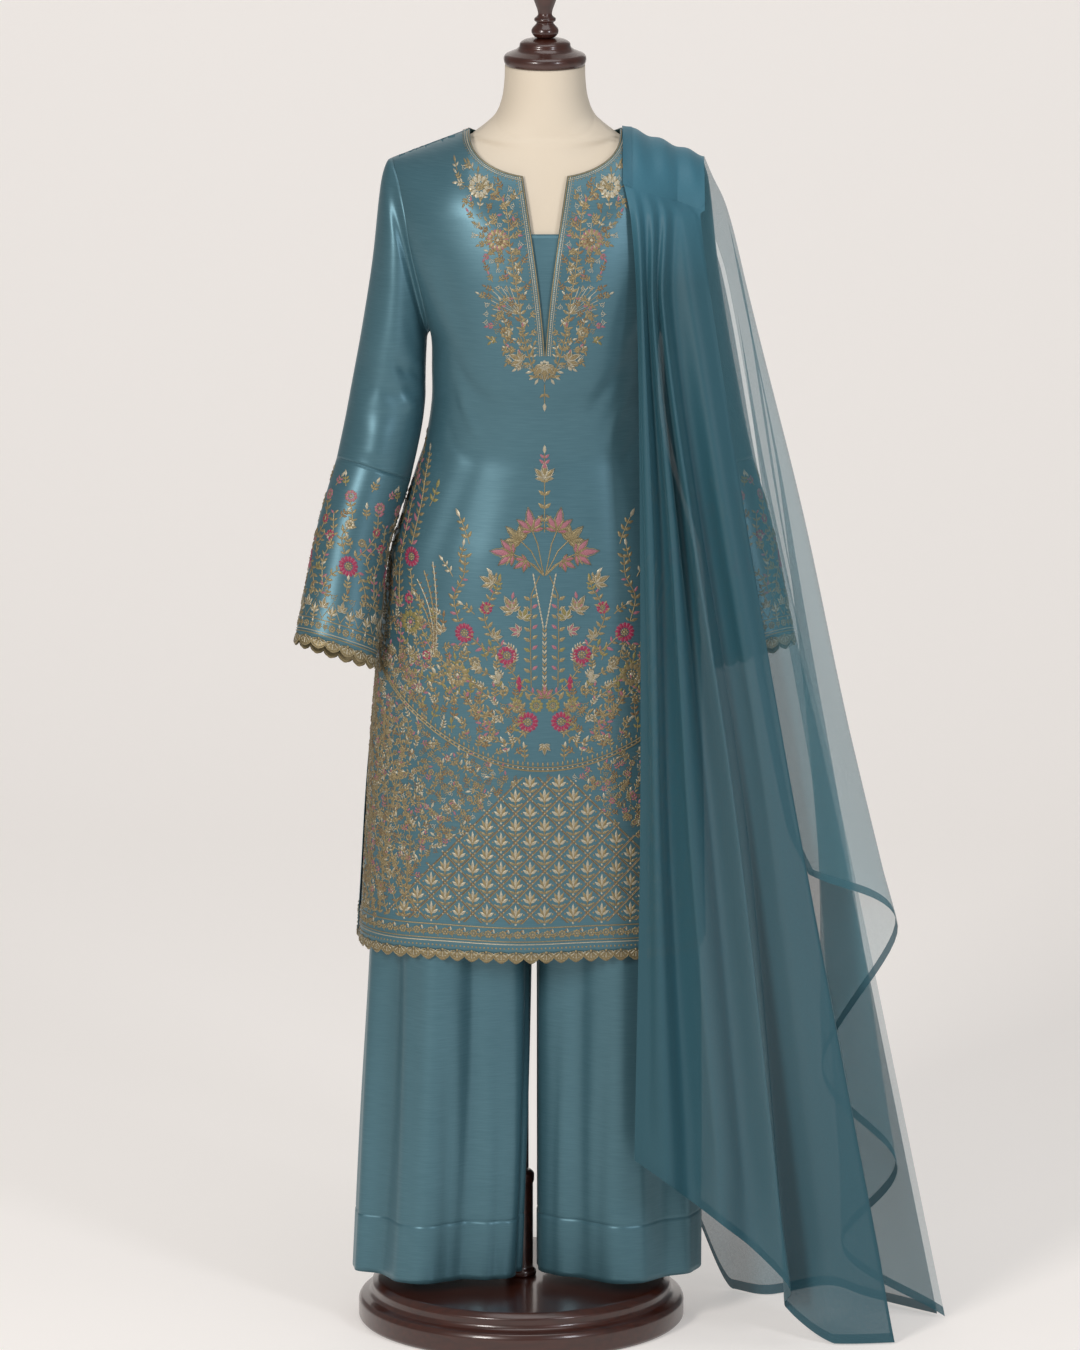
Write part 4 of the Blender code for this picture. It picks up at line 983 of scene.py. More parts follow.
BACK_FOLDS = (
    (0.197, 0.208, 0.072, 0.243, 0.092, 0.291, 0.101, 0.376, 0.096, 0.510, 0.000, 0.002),
    (0.185, 0.196, 0.076, 0.228, 0.098, 0.268, 0.108, 0.325, 0.105, 0.430, 0.075, 0.002),
    (0.170, 0.181, 0.092, 0.208, 0.112, 0.240, 0.126, 0.285, 0.142, 0.380, 0.130, 0.002),
    (0.154, 0.165, 0.092, 0.187, 0.108, 0.210, 0.120, 0.250, 0.128, 0.305, 0.088, 0.002),
    (0.139, 0.148, 0.102, 0.164, 0.116, 0.180, 0.132, 0.210, 0.152, 0.258, 0.116, 0.004),
    (0.123, 0.132, 0.102, 0.142, 0.112, 0.152, 0.124, 0.178, 0.142, 0.214, 0.118, 0.100),
)


def shoulder_points(x, angle, lift):
    """Points over the left shoulder: angle 0 is the shoulder seam, minus in front."""
    dx = x - CENTRE_X
    body_dx = np.minimum(dx, SHOULDER_FULL_DX)
    z = ridge_height(body_dx) - SHOULDER_ROUND * (1.0 - np.cos(angle))
    y = np.where(angle < 0, surface_y(body_dx, z, -1), surface_y(body_dx, z, 1))
    z = z + ridge_height(dx) - ridge_height(body_dx)
    return np.stack([x, y + lift * np.sin(angle), z + lift * np.cos(angle)], axis=-1)


def row_share(t):
    return 0.8 * t + 0.2 * t * t


def fall_points(tops, folds, rows, per_fold):
    """Rows of points through the fold lines."""
    lines = []
    for top, fold in zip(tops, folds):
        stops = [tuple(top)]
        stops += [(fold[1 + 2 * k], fold[2 + 2 * k], z) for k, z in enumerate((CAP_Z, BUST_Z, WAIST_Z, KNEE_Z))]
        stops.append(fold[9:12])
        lines.append(resample(np.array(stops), rows, row_share))
    across = np.linspace(0.0, len(folds) - 1.0, per_fold * (len(folds) - 1) + 1)
    table = np.column_stack([np.arange(len(folds)), np.array(lines).reshape(len(folds), -1)])
    grid = read_table(table, across).reshape(len(across), rows, 3).transpose(1, 0, 2)
    grid[..., 2] = np.maximum(grid[..., 2], FLOOR_Z)
    return grid


ROWS = 190
front_tops = [shoulder_points(np.float64(f[0]), -SHOULDER_REACH - 2 * PAST_EDGE, DUPATTA_LIFT) for f in FRONT_FOLDS]
back_tops = [shoulder_points(np.float64(f[0]), SHOULDER_REACH + PAST_EDGE, DUPATTA_LIFT) for f in BACK_FOLDS]
side_tops = [
    shoulder_points(np.float64(SHOULDER_OUTER_X + SIDE_START), math.radians(f[0]), DUPATTA_LIFT) for f in SIDE_FOLDS
]
front_fall = fall_points(front_tops, FRONT_FOLDS, ROWS, 14)
back_fall = fall_points(back_tops, BACK_FOLDS, ROWS, 14)
side_fall = fall_points(side_tops, SIDE_FOLDS, ROWS, 14)
shoulder_x = np.linspace(SHOULDER_INNER_X, SHOULDER_OUTER_X + SIDE_START, 97)[None, :] + np.zeros((49, 1))
shoulder_turn = np.linspace(-SHOULDER_REACH - 2 * PAST_EDGE, SHOULDER_REACH + PAST_EDGE, 49)[:, None] + np.zeros((1, 97))
pleat = -np.cos(math.pi * 6 * (shoulder_x - SHOULDER_INNER_X) / (SHOULDER_OUTER_X - SHOULDER_INNER_X) + shoulder_turn)
pleat = pleat * ramp(1.0 - np.abs(shoulder_turn) / SHOULDER_REACH, 0.0, 0.5)
shoulder_fall = shoulder_points(shoulder_x, shoulder_turn, DUPATTA_LIFT + DUPATTA_PLEAT * pleat)
print("Front fall rows and columns:", front_fall.shape[:2])


# %% Small folds and rolled hems of the dupatta
def soft_ripples(points, depth, waves, phase):
    """Narrow folds that wander down the cloth and grow towards the hem."""
    rows, columns = points.shape[:2]
    down = np.linspace(0.0, 1.0, rows)[:, None]
    across = np.linspace(0.0, 1.0, columns)[None, :]
    wander = 0.35 * np.sin(2.6 * down + phase) + 0.18 * np.sin(6.1 * down + 2.0 * phase)
    ripple = np.sin(2 * math.pi * waves * across + 2 * math.pi * wander)
    ripple = ripple + 0.5 * np.sin(2 * math.pi * (waves * 1.7) * across + 4.0 * wander + phase)
    keep = ramp(down, 0.03, 0.45) * (1.0 - ramp(down, 0.93, 1.0))
    keep = keep * ramp(across, 0.0, 0.06) * (1.0 - ramp(across, 0.94, 1.0)) * ramp(points[..., 2], 0.01, 0.12)
    return points + normals(points) * (depth * ripple * keep)[..., None]


def edge_band(points, edge, width=0.012, lift=0.0007, columns=5):
    """The rolled hem along one edge of a grid: left, right or bottom."""
    turned = points[::-1].transpose(1, 0, 2) if edge == "bottom" else points
    turned = turned[:, ::-1] if edge == "right" else turned
    out = normals(turned)
    reach = np.linalg.norm(np.diff(turned, axis=1), axis=-1).cumsum(axis=1)
    band = []
    for place, away, along in zip(turned, out, reach):
        keys = np.concatenate([[0.0], along])
        at = np.linspace(0.0, width, columns)
        read = np.stack([np.interp(at, keys, place[:, k] + lift * away[:, k]) for k in range(3)], axis=-1)
        band.append(read)
    return np.array(band)


front_fall = soft_ripples(front_fall, 0.0030, 4, 0.4)
back_fall = soft_ripples(back_fall, 0.0034, 4, 1.7)
side_fall = soft_ripples(side_fall, 0.0036, 4, 2.9)
HEMS = {"front": ("left", "bottom"), "side": ("left", "bottom"), "back": ("right", "bottom"), "shoulder": ("left",)}
COVERS = {"front": organza_layers, "side": organza, "back": organza_folded, "shoulder": organza_layers}
dupatta = {}
for name, grid in (
    ("front", front_fall), ("side", side_fall), ("back", back_fall), ("shoulder", shoulder_fall),
):
    sheet = add_cloth(f"dupatta_{name}_organza", [grid], COVERS[name])
    hems = [
        add_cloth(f"dupatta_{name}_hem_{edge}", [edge_band(grid, edge)], organza_hem) for edge in HEMS[name]
    ]
    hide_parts(f"dupatta_{name}")
    dupatta[name] = (sheet, hems)
    print("dupatta", name, "area", round(area_of(sheet), 4))

# %% [markdown]
# ## Flat charts of the cloth
# An embroiderer works on flat cloth in a frame, before the garment is sewn. A chart does
# the same here: it knows where each flat place, so far across and so far up, ends up on
# the finished garment. Every motif is drawn flat at its real size and then laid on.


# %% Flat charts
STEP = 0.003
PATTERN_X = 0.0285


def make_chart(points, u0, v0, step_u, step_v, outward, wrap=False):
    """Makes a function that lays flat places (across, up, height) on the cloth."""
    out = normals(points, wrap)
    out = out * np.sign((out * outward).sum(axis=-1).mean())
    rows, columns = points.shape[:2]

    def lay(flat):
        a = (flat[:, 0] - u0) / step_u
        a = a % columns if wrap else np.clip(a, 0.0, columns - 1.001)
        b = np.clip((flat[:, 1] - v0) / step_v, 0.0, rows - 1.001)
        i, j = a.astype(int) % columns, b.astype(int)
        k = (i + 1) % columns
        s, t = (a - np.floor(a))[:, None], (b - j)[:, None]
        low = [grid[j, i] * (1 - s) + grid[j, k] * s for grid in (points, out)]
        high = [grid[j + 1, i] * (1 - s) + grid[j + 1, k] * s for grid in (points, out)]
        place, away = [x * (1 - t) + y * t for x, y in zip(low, high)]
        return place + away * flat[:, 2:3]

    return lay


def kameez_chart(facing, table, half_width=0.282, low=0.4725, high=1.4625):
    """The chart of the front or back, and how far across its side edges are at each height."""
    z = np.arange(low, high, STEP)[:, None]
    angle = np.linspace(0.0, math.pi / 2, 140)[None, :]
    level = np.maximum(z, HEM_Z) + 0 * angle
    dx = from_angle(angle, section(level)[1])
    halves = []
    for side in (-1, 1):
        points = kameez_points(dx, np.minimum(level, ridge_height(dx)), side, facing)
        points = kameez_relief(points, side, facing, table)
        points[..., 2] += z - np.maximum(z, HEM_Z)
        halves.append(points)
    whole = np.concatenate([halves[0][:, ::-1], halves[1][:, 1:]], axis=1)
    reach = np.linalg.norm(np.diff(whole, axis=1), axis=-1).cumsum(axis=1)
    reach = np.concatenate([np.zeros((len(whole), 1)), reach], axis=1)
    across = np.arange(-half_width, half_width, STEP)
    grid, edges = [], []
    for row, keys in zip(whole, reach):
        middle = np.interp(PATTERN_X, row[:, 0], keys)
        grid.append(np.stack([np.interp(across + middle, keys, row[:, k]) for k in range(3)], axis=-1))
        edges.append((-middle, keys[-1] - middle))
    lay = make_chart(np.array(grid), -half_width, low, STEP, STEP, np.array((0.0, facing, 0.0)))
    return lay, np.column_stack([z, edges])


def tube_chart(tube):
    """The chart of a cuff: across runs round it from its outer side, up from its hem."""
    rings = []
    for ring in tube[::-1]:
        closed = np.concatenate([ring, ring[:1]])
        keys = np.concatenate([[0.0], np.linalg.norm(np.diff(closed, axis=0), axis=-1).cumsum()])
        at = np.linspace(0.0, keys[-1], 120, endpoint=False)
        rings.append(np.stack([np.interp(at, keys, closed[:, k]) for k in range(3)], axis=-1))
    points = np.array(rings)
    girth = np.linalg.norm(points - np.roll(points, 1, axis=1), axis=-1).sum(axis=1).mean()
    rise = np.linalg.norm(np.diff(points, axis=0), axis=-1).mean()
    outward = points - points.mean(axis=1, keepdims=True)
    return make_chart(points, 0.0, 0.0, girth / 120, rise, outward, wrap=True), girth


def edge_chart(path, side, facing, width=0.018):
    """A chart along an edge of the neck: across follows the edge, up goes into the cloth."""
    path = np.array(path)
    dx, z = path[:, 0], path[:, 1]
    place = kameez_points(dx, z, side, facing)
    keys = np.concatenate([[0.0], np.linalg.norm(np.diff(place, axis=0), axis=-1).cumsum()])
    at = np.arange(0.0, keys[-1], STEP)
    dx, z = np.interp(at, keys, dx), np.interp(at, keys, z)
    place = kameez_points(dx, z, side, facing)
    below = kameez_points(dx, z - 0.001, side, facing) - place
    beside = kameez_points(dx + 0.002, np.minimum(z, ridge_height(dx + 0.002)) - 0.0005, side, facing) - place
    up = np.cross(below, beside)
    up = up * np.sign(up[:, 1:2] * facing)
    inward = np.cross(up, np.gradient(place, axis=0))
    inward = inward / np.linalg.norm(inward, axis=-1, keepdims=True)
    inward = inward * np.sign((inward * (below + beside)).sum(axis=-1, keepdims=True))
    rows = np.arange(0.0, width, STEP)
    points = place[None] + inward[None] * rows[:, None, None]
    return make_chart(points, 0.0, 0.0, STEP, STEP, up[None]), keys[-1]


front_chart, front_edges = kameez_chart(-1, FRONT_CREASES)
back_chart, back_edges = kameez_chart(1, BACK_CREASES)
cuff_charts = {"right": tube_chart(cuff_tube_right), "left": tube_chart(cuff_tube_left)}
print("Hem of the front, across:", front_edges[5, 1:].round(3), "cuff girth", round(cuff_charts["right"][1], 3))

# %% [markdown]
# ## Threads and stitches
# Zari is a metal thread: a fine gold-coloured strip wound on a core. It is couched down
# as cords, filled in as raised leaves, and joined by beads. Silk floss in magenta, rose
# and olive fills some petals. Each stitch shape is a few faces, raised in the middle.


# %% Threads
THREADS = {
    # colour, metallic, roughness
    "gold": ("8c7e5c", 0.50, 0.42),
    "pale": ("aaa38e", 0.40, 0.38),
    "antique": ("7d6648", 0.45, 0.45),
    "magenta": ("8f1a44", 0.0, 0.45),
    "rose": ("99606a", 0.10, 0.48),
    "olive": ("837a48", 0.30, 0.50),
}


def make_thread(name, color, metallic, roughness):
    """Twisted thread: fine slanting ridges and small changes of tone."""
    thread = new_material(f"thread_{name}", linear(color), Metallic=metallic, Roughness=roughness, Sheen_Weight=0.15)
    twist = stretched_noise(thread, (900.0, 900.0, 1400.0), 2.0)
    tone = add_node(thread, "ShaderNodeMapRange", {
        "Value": (twist, "Fac"), "From Min": 0.3, "From Max": 0.7, "To Min": 0.62, "To Max": 1.25})
    shade = add_node(thread, "ShaderNodeHueSaturation", {"Value": (tone, "Result"), "Color": linear(color)})
    link_shader(thread, "Base Color", shade, "Color")
    bump = add_node(thread, "ShaderNodeBump", {"Height": (twist, "Fac"), "Strength": 0.5, "Distance": 0.0004})
    link_shader(thread, "Normal", bump, "Normal")
    return thread


threads = {name: make_thread(name, *values) for name, values in THREADS.items()}
print("Threads:", ", ".join(threads))


# %% Stitches
LEAF_FACES = np.array([
    (0, 6, 1), (0, 5, 6), (1, 6, 7), (1, 7, 2), (5, 4, 7), (5, 7, 6), (2, 7, 3), (7, 4, 3),
])
MM = 0.001
LIFT = 0.00015


def leaf(thread, length, width, height=1.3):
    """A filled leaf or petal from the origin upwards, in millimetres."""
    points = [
        (0, 0, 0), (-width / 2, 0.4 * length, 0), (-0.34 * width, 0.74 * length, 0), (0, length, 0),
        (0.34 * width, 0.74 * length, 0), (width / 2, 0.4 * length, 0), (0, 0.4 * length, height),
        (0, 0.74 * length, 0.8 * height),
    ]
    return [(thread, np.array(points, float), LEAF_FACES)]


def bead(thread, radius, u=0.0, v=0.0):
    """A small bead or knot."""
    ring = [(u + radius * math.cos(k * math.pi / 3), v + radius * math.sin(k * math.pi / 3), 0) for k in range(6)]
    faces = [(6, k, (k + 1) % 6) for k in range(6)]
    return [(thread, np.array(ring + [(u, v, 0.9 * radius)], float), np.array(faces))]


def cord(thread, path, width=0.9, height=0.6):
    """A couched cord along a path."""
    path = np.array(path, float)
    along = np.gradient(path, axis=0)
    along = along / np.maximum(np.linalg.norm(along, axis=1, keepdims=True), 1e-9)
    left = np.stack([-along[:, 1], along[:, 0]], axis=-1) * width / 2
    low, high = np.zeros((len(path), 1)), np.full((len(path), 1), height)
    points = np.concatenate([np.hstack([path + left, low]), np.hstack([path, high]), np.hstack([path - left, low])])
    a = np.arange(len(path) - 1)
    b, c = a + len(path), a + 2 * len(path)
    faces = [(a, b, b + 1), (a, b + 1, a + 1), (b, c, c + 1), (b, c + 1, b + 1)]
    return [(thread, points, np.concatenate([np.stack(face, axis=1) for face in faces]))]


def moved(motif, u=0.0, v=0.0, turn=0.0, scale=1.0, mirror=False):
    """Turns a motif by degrees to the left, scales it and moves it."""
    c, s = math.cos(math.radians(turn)) * scale, math.sin(math.radians(turn)) * scale
    result = []
    for thread, points, faces in motif:
        x, y = c * points[:, 0] - s * points[:, 1] + u, s * points[:, 0] + c * points[:, 1] + v
        placed = np.stack([-x if mirror else x, y, points[:, 2]], axis=-1)
        result.append((thread, placed, faces[:, ::-1] if mirror else faces))
    return result


def merged(motif):
    """Joins the shapes of each thread."""
    result = []
    for name in sorted({shape[0] for shape in motif}):
        shapes = [shape for shape in motif if shape[0] == name]
        starts = np.cumsum([0] + [len(shape[1]) for shape in shapes[:-1]])
        faces = np.concatenate([shape[2] + start for shape, start in zip(shapes, starts)])
        result.append((name, np.concatenate([shape[1] for shape in shapes]), faces))
    return result


def both_sides(motif):
    """A motif and its mirror image across the centre line."""
    return motif + moved(motif, mirror=True)


print("A leaf has", len(LEAF_FACES), "faces")


# %% Motifs
def curve(length, bend, steps=8):
    """A path that starts upwards and bends to one side."""
    t = np.linspace(0.0, 1.0, steps + 1)
    return np.stack([bend * length * t**2, length * t * (1 - 0.25 * abs(bend) * t)], axis=-1)


def sprig(length, pairs, size, thread="gold", tip=None, bend=0.0, spread=48.0, stem="gold"):
    """A stem with pairs of leaves and one at its end."""
    path = curve(length, bend)
    motif = cord(stem, path, 1.2, 0.8)
    for k in range(pairs):
        t = (k + 0.8) / (pairs + 0.6)
        at = path[0] + (path[-1] - path[0]) * t
        at[0] = np.interp(t, np.linspace(0, 1, len(path)), path[:, 0])
        at[1] = np.interp(t, np.linspace(0, 1, len(path)), path[:, 1])
        lean = -math.degrees(math.atan(2 * bend * t))
        for side in (-1, 1):
            grown = size * (1.05 - 0.3 * t)
            motif += moved(leaf(thread, grown, grown * 0.46), *at, turn=lean + side * spread)
    motif += moved(leaf(tip or thread, size * 1.25, size * 0.5), *path[-1], turn=-math.degrees(math.atan(2 * bend)))
    return merged(motif)


def bound_leaf(thread, length, width, edge="gold"):
    """A filled leaf with a cord along its edge."""
    side = [(-0.42 * width, 0.2 * length), (-0.56 * width, 0.45 * length), (-0.38 * width, 0.78 * length)]
    rim = [(0, 0)] + side + [(0, 1.06 * length)] + [(-x, y) for x, y in side[::-1]] + [(0, 0)]
    return leaf(thread, length, 0.86 * width) + cord(edge, rim, 1.1, 1.3)


def palmette(size, thread, edge="gold"):
    """A lobed leaf: bound lobes fan out from one point."""
    motif = []
    for turn, share in ((0, 1.0), (44, 0.80), (-44, 0.80), (88, 0.52), (-88, 0.52)):
        motif += moved(bound_leaf(thread, size * share, size * 0.34 * share, edge), turn=turn)
    for turn in (22, -22, 66, -66):
        motif += moved(leaf(edge, size * 0.62, size * 0.12, 1.0), turn=turn)
    return merged(motif)


def rosette(radius, petals, thread, heart="pale", edge=None):
    """A round flower with a ring of petals about a beaded heart."""
    motif = []
    wide = 2 * math.pi * radius * 0.86 / petals
    for k in range(petals):
        turn = 360.0 * k / petals
        petal = moved(leaf(thread, radius * 0.64, wide, 1.2), v=radius * 0.36)
        motif += moved(petal, turn=turn)
        if edge:
            motif += moved(moved(leaf(edge, radius * 0.5, wide * 0.35, 0.9), v=radius * 0.5), turn=turn + 180 / petals)
    for k in range(8):
        spot = math.radians(45 * k)
        motif += bead("gold", radius * 0.11, radius * 0.27 * math.cos(spot), radius * 0.27 * math.sin(spot))
    return merged(motif + bead(heart, radius * 0.17))


def scroll(radius, thread="gold", turns=1.2):
    """A tendril that curls in on a bead."""
    t = np.linspace(0.0, 1.0, 13)
    angle = 2 * math.pi * turns * t
    reach = radius * (1.0 - 0.78 * t)
    path = np.stack([reach * np.sin(angle), -reach * np.cos(angle) + radius], axis=-1)
    motif = cord(thread, path, 0.8, 0.5) + bead(thread, radius * 0.2, *path[-1])
    motif += moved(leaf(thread, radius * 0.9, radius * 0.36), *path[3], turn=-70)
    return merged(motif + moved(leaf(thread, radius * 0.8, radius * 0.32), *path[6], turn=20))


def bud(size, thread="gold", light="pale"):
    """The small flower of the trellis: upright petals in a cup, two curled leaves and a foot."""
    motif = cord("gold", [(0, 0), (0, size * 0.4)], 1.2, 0.8)
    for turn, share, kind in ((0, 0.64, light), (26, 0.56, thread), (-26, 0.56, thread), (56, 0.42, light),
                              (-56, 0.42, light)):
        motif += moved(leaf(kind, size * share, size * 0.17, 1.4), v=size * 0.34, turn=turn)
    for side in (-1, 1):
        motif += moved(leaf(thread, size * 0.34, size * 0.15), v=size * 0.08, turn=62 * side)
    return merged(motif + bead(thread, size * 0.08, 0, size * 0.34) + bead(light, size * 0.06))


def plume(length, lines, bend):
    """A bundle of long curved cords with small leaves on the outer one, like a feather."""
    motif = []
    for k in range(lines):
        path = curve(length * (1.0 - 0.09 * k), bend * (0.35 + 0.30 * k), 14)
        path[:, 0] += k * 1.4
        motif += cord("gold" if k % 2 else "pale", path, 1.6, 1.0)
        for at in path[1:-1]:
            motif += moved(leaf("gold", 5.4, 2.2), *at, turn=-34) + moved(leaf("antique", 4.6, 1.8), *at, turn=40)
    return merged(motif)


def fan(rays, first, last, length):
    """Fine straight cords that spread from one point, each with a bead at its end."""
    motif = []
    for k in range(rays):
        turn = math.radians(lerp(first, last, k / (rays - 1)))
        reach = length * (1.0 - 0.22 * abs(2 * k / (rays - 1) - 0.9))
        start, end = np.array((-math.sin(turn), math.cos(turn))) * 5, np.array((-math.sin(turn), math.cos(turn))) * reach
        motif += cord("gold" if k % 2 else "pale", [start, end], 1.0, 0.7) + bead("gold", 1.0, *end)
    return merged(motif)


def vine(path, size, pitch, thread="gold", accent="rose", seed=3):
    """A stem along a path with leaves, tendrils and a few small flowers."""
    path = np.array(path, float)
    keys = np.concatenate([[0.0], np.linalg.norm(np.diff(path, axis=0), axis=1).cumsum()])
    at = np.arange(0.0, keys[-1], 3.0)
    smooth = read_table(np.column_stack([keys, path]), at)
    motif = cord(thread, smooth, 1.4, 0.9)
    chance = np.random.default_rng(seed)
    along = np.gradient(smooth, axis=0)
    for k, place in enumerate(smooth[::max(1, round(pitch / 3.0))]):
        step = along[min(k * max(1, round(pitch / 3.0)), len(along) - 1)]
        lean = math.degrees(math.atan2(-step[0], step[1]))
        for side in (-1, 1):
            kind = accent if chance.random() < 0.16 else thread
            grown = 1.3 * size * chance.uniform(0.75, 1.15)
            motif += moved(leaf(kind, grown, grown * 0.4), *place, turn=lean + side * chance.uniform(40, 66))
    return merged(motif)


print("A rosette has", sum(len(shape[2]) for shape in rosette(13, 13, "magenta")), "faces")

# %% [markdown]
# ## Sewing the motifs on
# The shapes of each thread are joined to one piece on each part of the garment.


# %% Sewing
def sew(name, layers, cloth):
    """Lays motifs, in millimetres, on charts and makes one piece for each thread."""
    made = {}
    for lay, motif in layers:
        for thread, points, faces in merged(motif):
            flat = points * MM + np.array((0.0, 0.0, LIFT))
            made.setdefault(thread, []).append((lay(flat), faces))
    for thread, parts in made.items():
        starts = np.cumsum([0] + [len(part[0]) for part in parts[:-1]])
        faces = np.concatenate([part[1] + start for part, start in zip(parts, starts)])
        places = np.concatenate([part[0] for part in parts])
        item = add_mesh(f"{name}_{thread}_thread", places, faces.tolist(), threads[thread])
        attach(item, "root")
        item["trim_of"] = cloth.name
        print(item.name, len(faces), "faces")


def inside(motif, edges, margin=4.0):
    """Keeps the shapes whose middle lies on the panel."""
    kept = []
    for shape in motif:
        middle = shape[1].mean(axis=0)
        left, right = [np.interp(middle[1] * MM, edges[:, 0], edges[:, k]) for k in (1, 2)]
        if left + margin * MM < middle[0] * MM < right - margin * MM:
            kept.append(shape)
    return kept


print("Ready to sew")

# %% [markdown]
# ## The neck
# Two rows of beads bind the slit and the neckline. Beside them grows a band of sprigs,
# small rosettes and fans, which meets in a pointed spray below the slit.


# %% The neck's bound edge
def bound_edge(length, pitch=2.3):
    """Cords and a row of beads along an edge."""
    motif = cord("gold", [(x, 1.4) for x in np.arange(0, length, 2.0)], 1.5, 1.0)
    motif += cord("pale", [(x, 6.4) for x in np.arange(0, length, 2.0)], 0.9, 0.7)
    for x in np.arange(1.0, length - 1.0, pitch):
        motif += bead("pale", 0.95, x, 4.0)
    for x in np.arange(2.0, length - 2.0, 4.2):
        motif += bead("gold", 0.8, x, 8.6)
    return motif


slit_t = np.linspace(0.0, 1.0, 60)
slit_path = np.stack([SLIT_HALF * slit_t**1.35, lerp(SLIT_BOTTOM_Z, SLIT_TOP_Z, slit_t)], axis=-1)
neck_turn = np.linspace(math.asin(SLIT_HALF / NECK_HALF), math.pi / 2, 80)
neck_path = np.stack([NECK_HALF * np.sin(neck_turn), NECK_Z - NECK_DROP * np.cos(neck_turn)], axis=-1)
back_turn = np.linspace(0.0, math.pi / 2, 60)
back_path = np.stack([NECK_HALF * np.sin(back_turn), NECK_Z - BACK_NECK_DROP * np.cos(back_turn)], axis=-1)
neck_layers, back_neck_layers = [], []
for side in (-1, 1):
    for path, facing, layers in ((slit_path, -1, neck_layers), (neck_path, -1, neck_layers),
                                 (back_path, 1, back_neck_layers)):
        lay, length = edge_chart(path, side, facing)
        layers.append((lay, bound_edge(length / MM)))
print("Neck edge charts:", len(neck_layers) + len(back_neck_layers))


# %% The neck's floral band
def neck_band():
    """The right half of the band beside the slit."""
    stem = [(10, 1190), (20, 1222), (27, 1252), (31, 1285), (37, 1322), (42, 1356), (45, 1388), (56, 1408), (72, 1418)]
    motif = vine(stem, 7.0, 9, "gold", "antique", 5)
    motif += moved(rosette(13.5, 11, "pale", "gold", "gold"), 78, 1416)
    motif += moved(rosette(14.0, 11, "gold", "pale", "rose"), 56, 1356)
    motif += moved(rosette(8.0, 8, "gold", "pale"), 46, 1246)
    motif += moved(fan(9, -20, -80, 44), 29, 1268)
    for u, v, turn, size, thread in (
        (58, 1372, -20, 9, "gold"), (66, 1366, -62, 8, "antique"), (70, 1352, -95, 8, "gold"),
        (66, 1340, -128, 8, "rose"), (54, 1338, -160, 9, "gold"), (40, 1400, 30, 8, "gold"),
        (64, 1398, -150, 7, "antique"), (92, 1404, -140, 8, "gold"), (96, 1420, -80, 9, "pale"),
        (90, 1434, -20, 8, "gold"), (70, 1436, 10, 8, "gold"), (50, 1262, -60, 9, "gold"),
        (60, 1254, -88, 8, "rose"), (58, 1240, -120, 9, "olive"), (46, 1230, -150, 8, "gold"),
        (34, 1226, -96, 9, "gold"), (40, 1214, -128, 8, "gold"), (26, 1206, -110, 9, "pale"),
    ):
        motif += moved(sprig(size * 0.9, 2, size * 0.72, thread, None, 0.15), u, v, turn)
    motif += moved(palmette(17, "gold", "pale"), 27, 1212, -64)
    for u, v, turn, radius in ((36, 1306, 40, 4.5), (34, 1334, -30, 4.0), (33, 1372, 60, 4.2), (52, 1422, -80, 4.6),
                               (36, 1414, 10, 4.0), (28, 1240, 30, 3.6)):
        motif += moved(scroll(radius), u, v, turn)
    return motif


def neck_fill():
    """Small sprigs and tendrils between the larger flowers of the band."""
    chance = np.random.default_rng(8)
    outer = ((1190, 24), (1220, 50), (1250, 66), (1285, 74), (1320, 70), (1356, 80), (1390, 88), (1420, 106), (1450, 112))
    kinds = (sprig(9, 2, 5.6, "gold", "pale", 0.2), scroll(3.6), sprig(8, 1, 6.4, "pale", "gold"), sprig(9, 2, 5.4, "antique"),
             scroll(3.2, "pale"), sprig(9, 2, 5.6, "gold", "rose", -0.2))
    motif = []
    for v in np.arange(1206.0, 1446.0, 10.5):
        slit = 26.4 * max(0.0, (v - 1216) / 214) ** 1.35 if v < 1428 else math.sqrt(max(0.0, 90**2 - (2.0 * (1470 - v)) ** 2))
        for u in np.arange(slit + 15, float(read_table(outer, v)[0]), 10.0):
            motif += moved(kinds[chance.integers(len(kinds))], u + chance.uniform(-2, 2), v - 4, chance.uniform(-70, 70))
    return motif


spray = moved(sprig(24, 1, 9, "gold", "pale"), 0, 1182, 180) + moved(palmette(20, "gold", "pale"), 0, 1206, 180)
for turn in (128, 150, -128, -150, 104, -104):
    spray += moved(sprig(15, 2, 7, "gold", "pale"), 0, 1202, turn)
spray += moved(rosette(7, 8, "pale", "gold"), 0, 1206)


def beside_opening(motif, lay, margin=0.0105):
    """Keeps the shapes that lie clear of the neckline and slit."""
    kept = []
    for shape in motif:
        middle = lay(shape[1].mean(axis=0)[None, :] * MM)[0]
        dx, z = abs(middle[0] - CENTRE_X), middle[2]
        slit = SLIT_HALF * max(0.0, (z - SLIT_BOTTOM_Z) / (SLIT_TOP_Z - SLIT_BOTTOM_Z)) ** 1.35
        neck = NECK_Z - NECK_DROP * math.sqrt(max(0.0, 1.0 - (dx / NECK_HALF) ** 2))
        if (z < SLIT_BOTTOM_Z or dx > slit + margin) and (z < neck - margin or dx > NECK_HALF + margin):
            kept.append(shape)
    return kept


neck_layers.append((front_chart, beside_opening(both_sides(neck_band() + neck_fill()), front_chart) + spray))
sew("neck", neck_layers, kameez_front)
sew("back_neck", back_neck_layers, kameez_back)

# %% [markdown]
# ## The skirt
# A flowering tree stands on the centre line, in the old manner of court gardens: a spike
# of leaves, a crown of palmettes, a chain stem, and branches with magenta rosettes.
# Feathers and sprays rise at the sides. It is drawn for one half and mirrored.


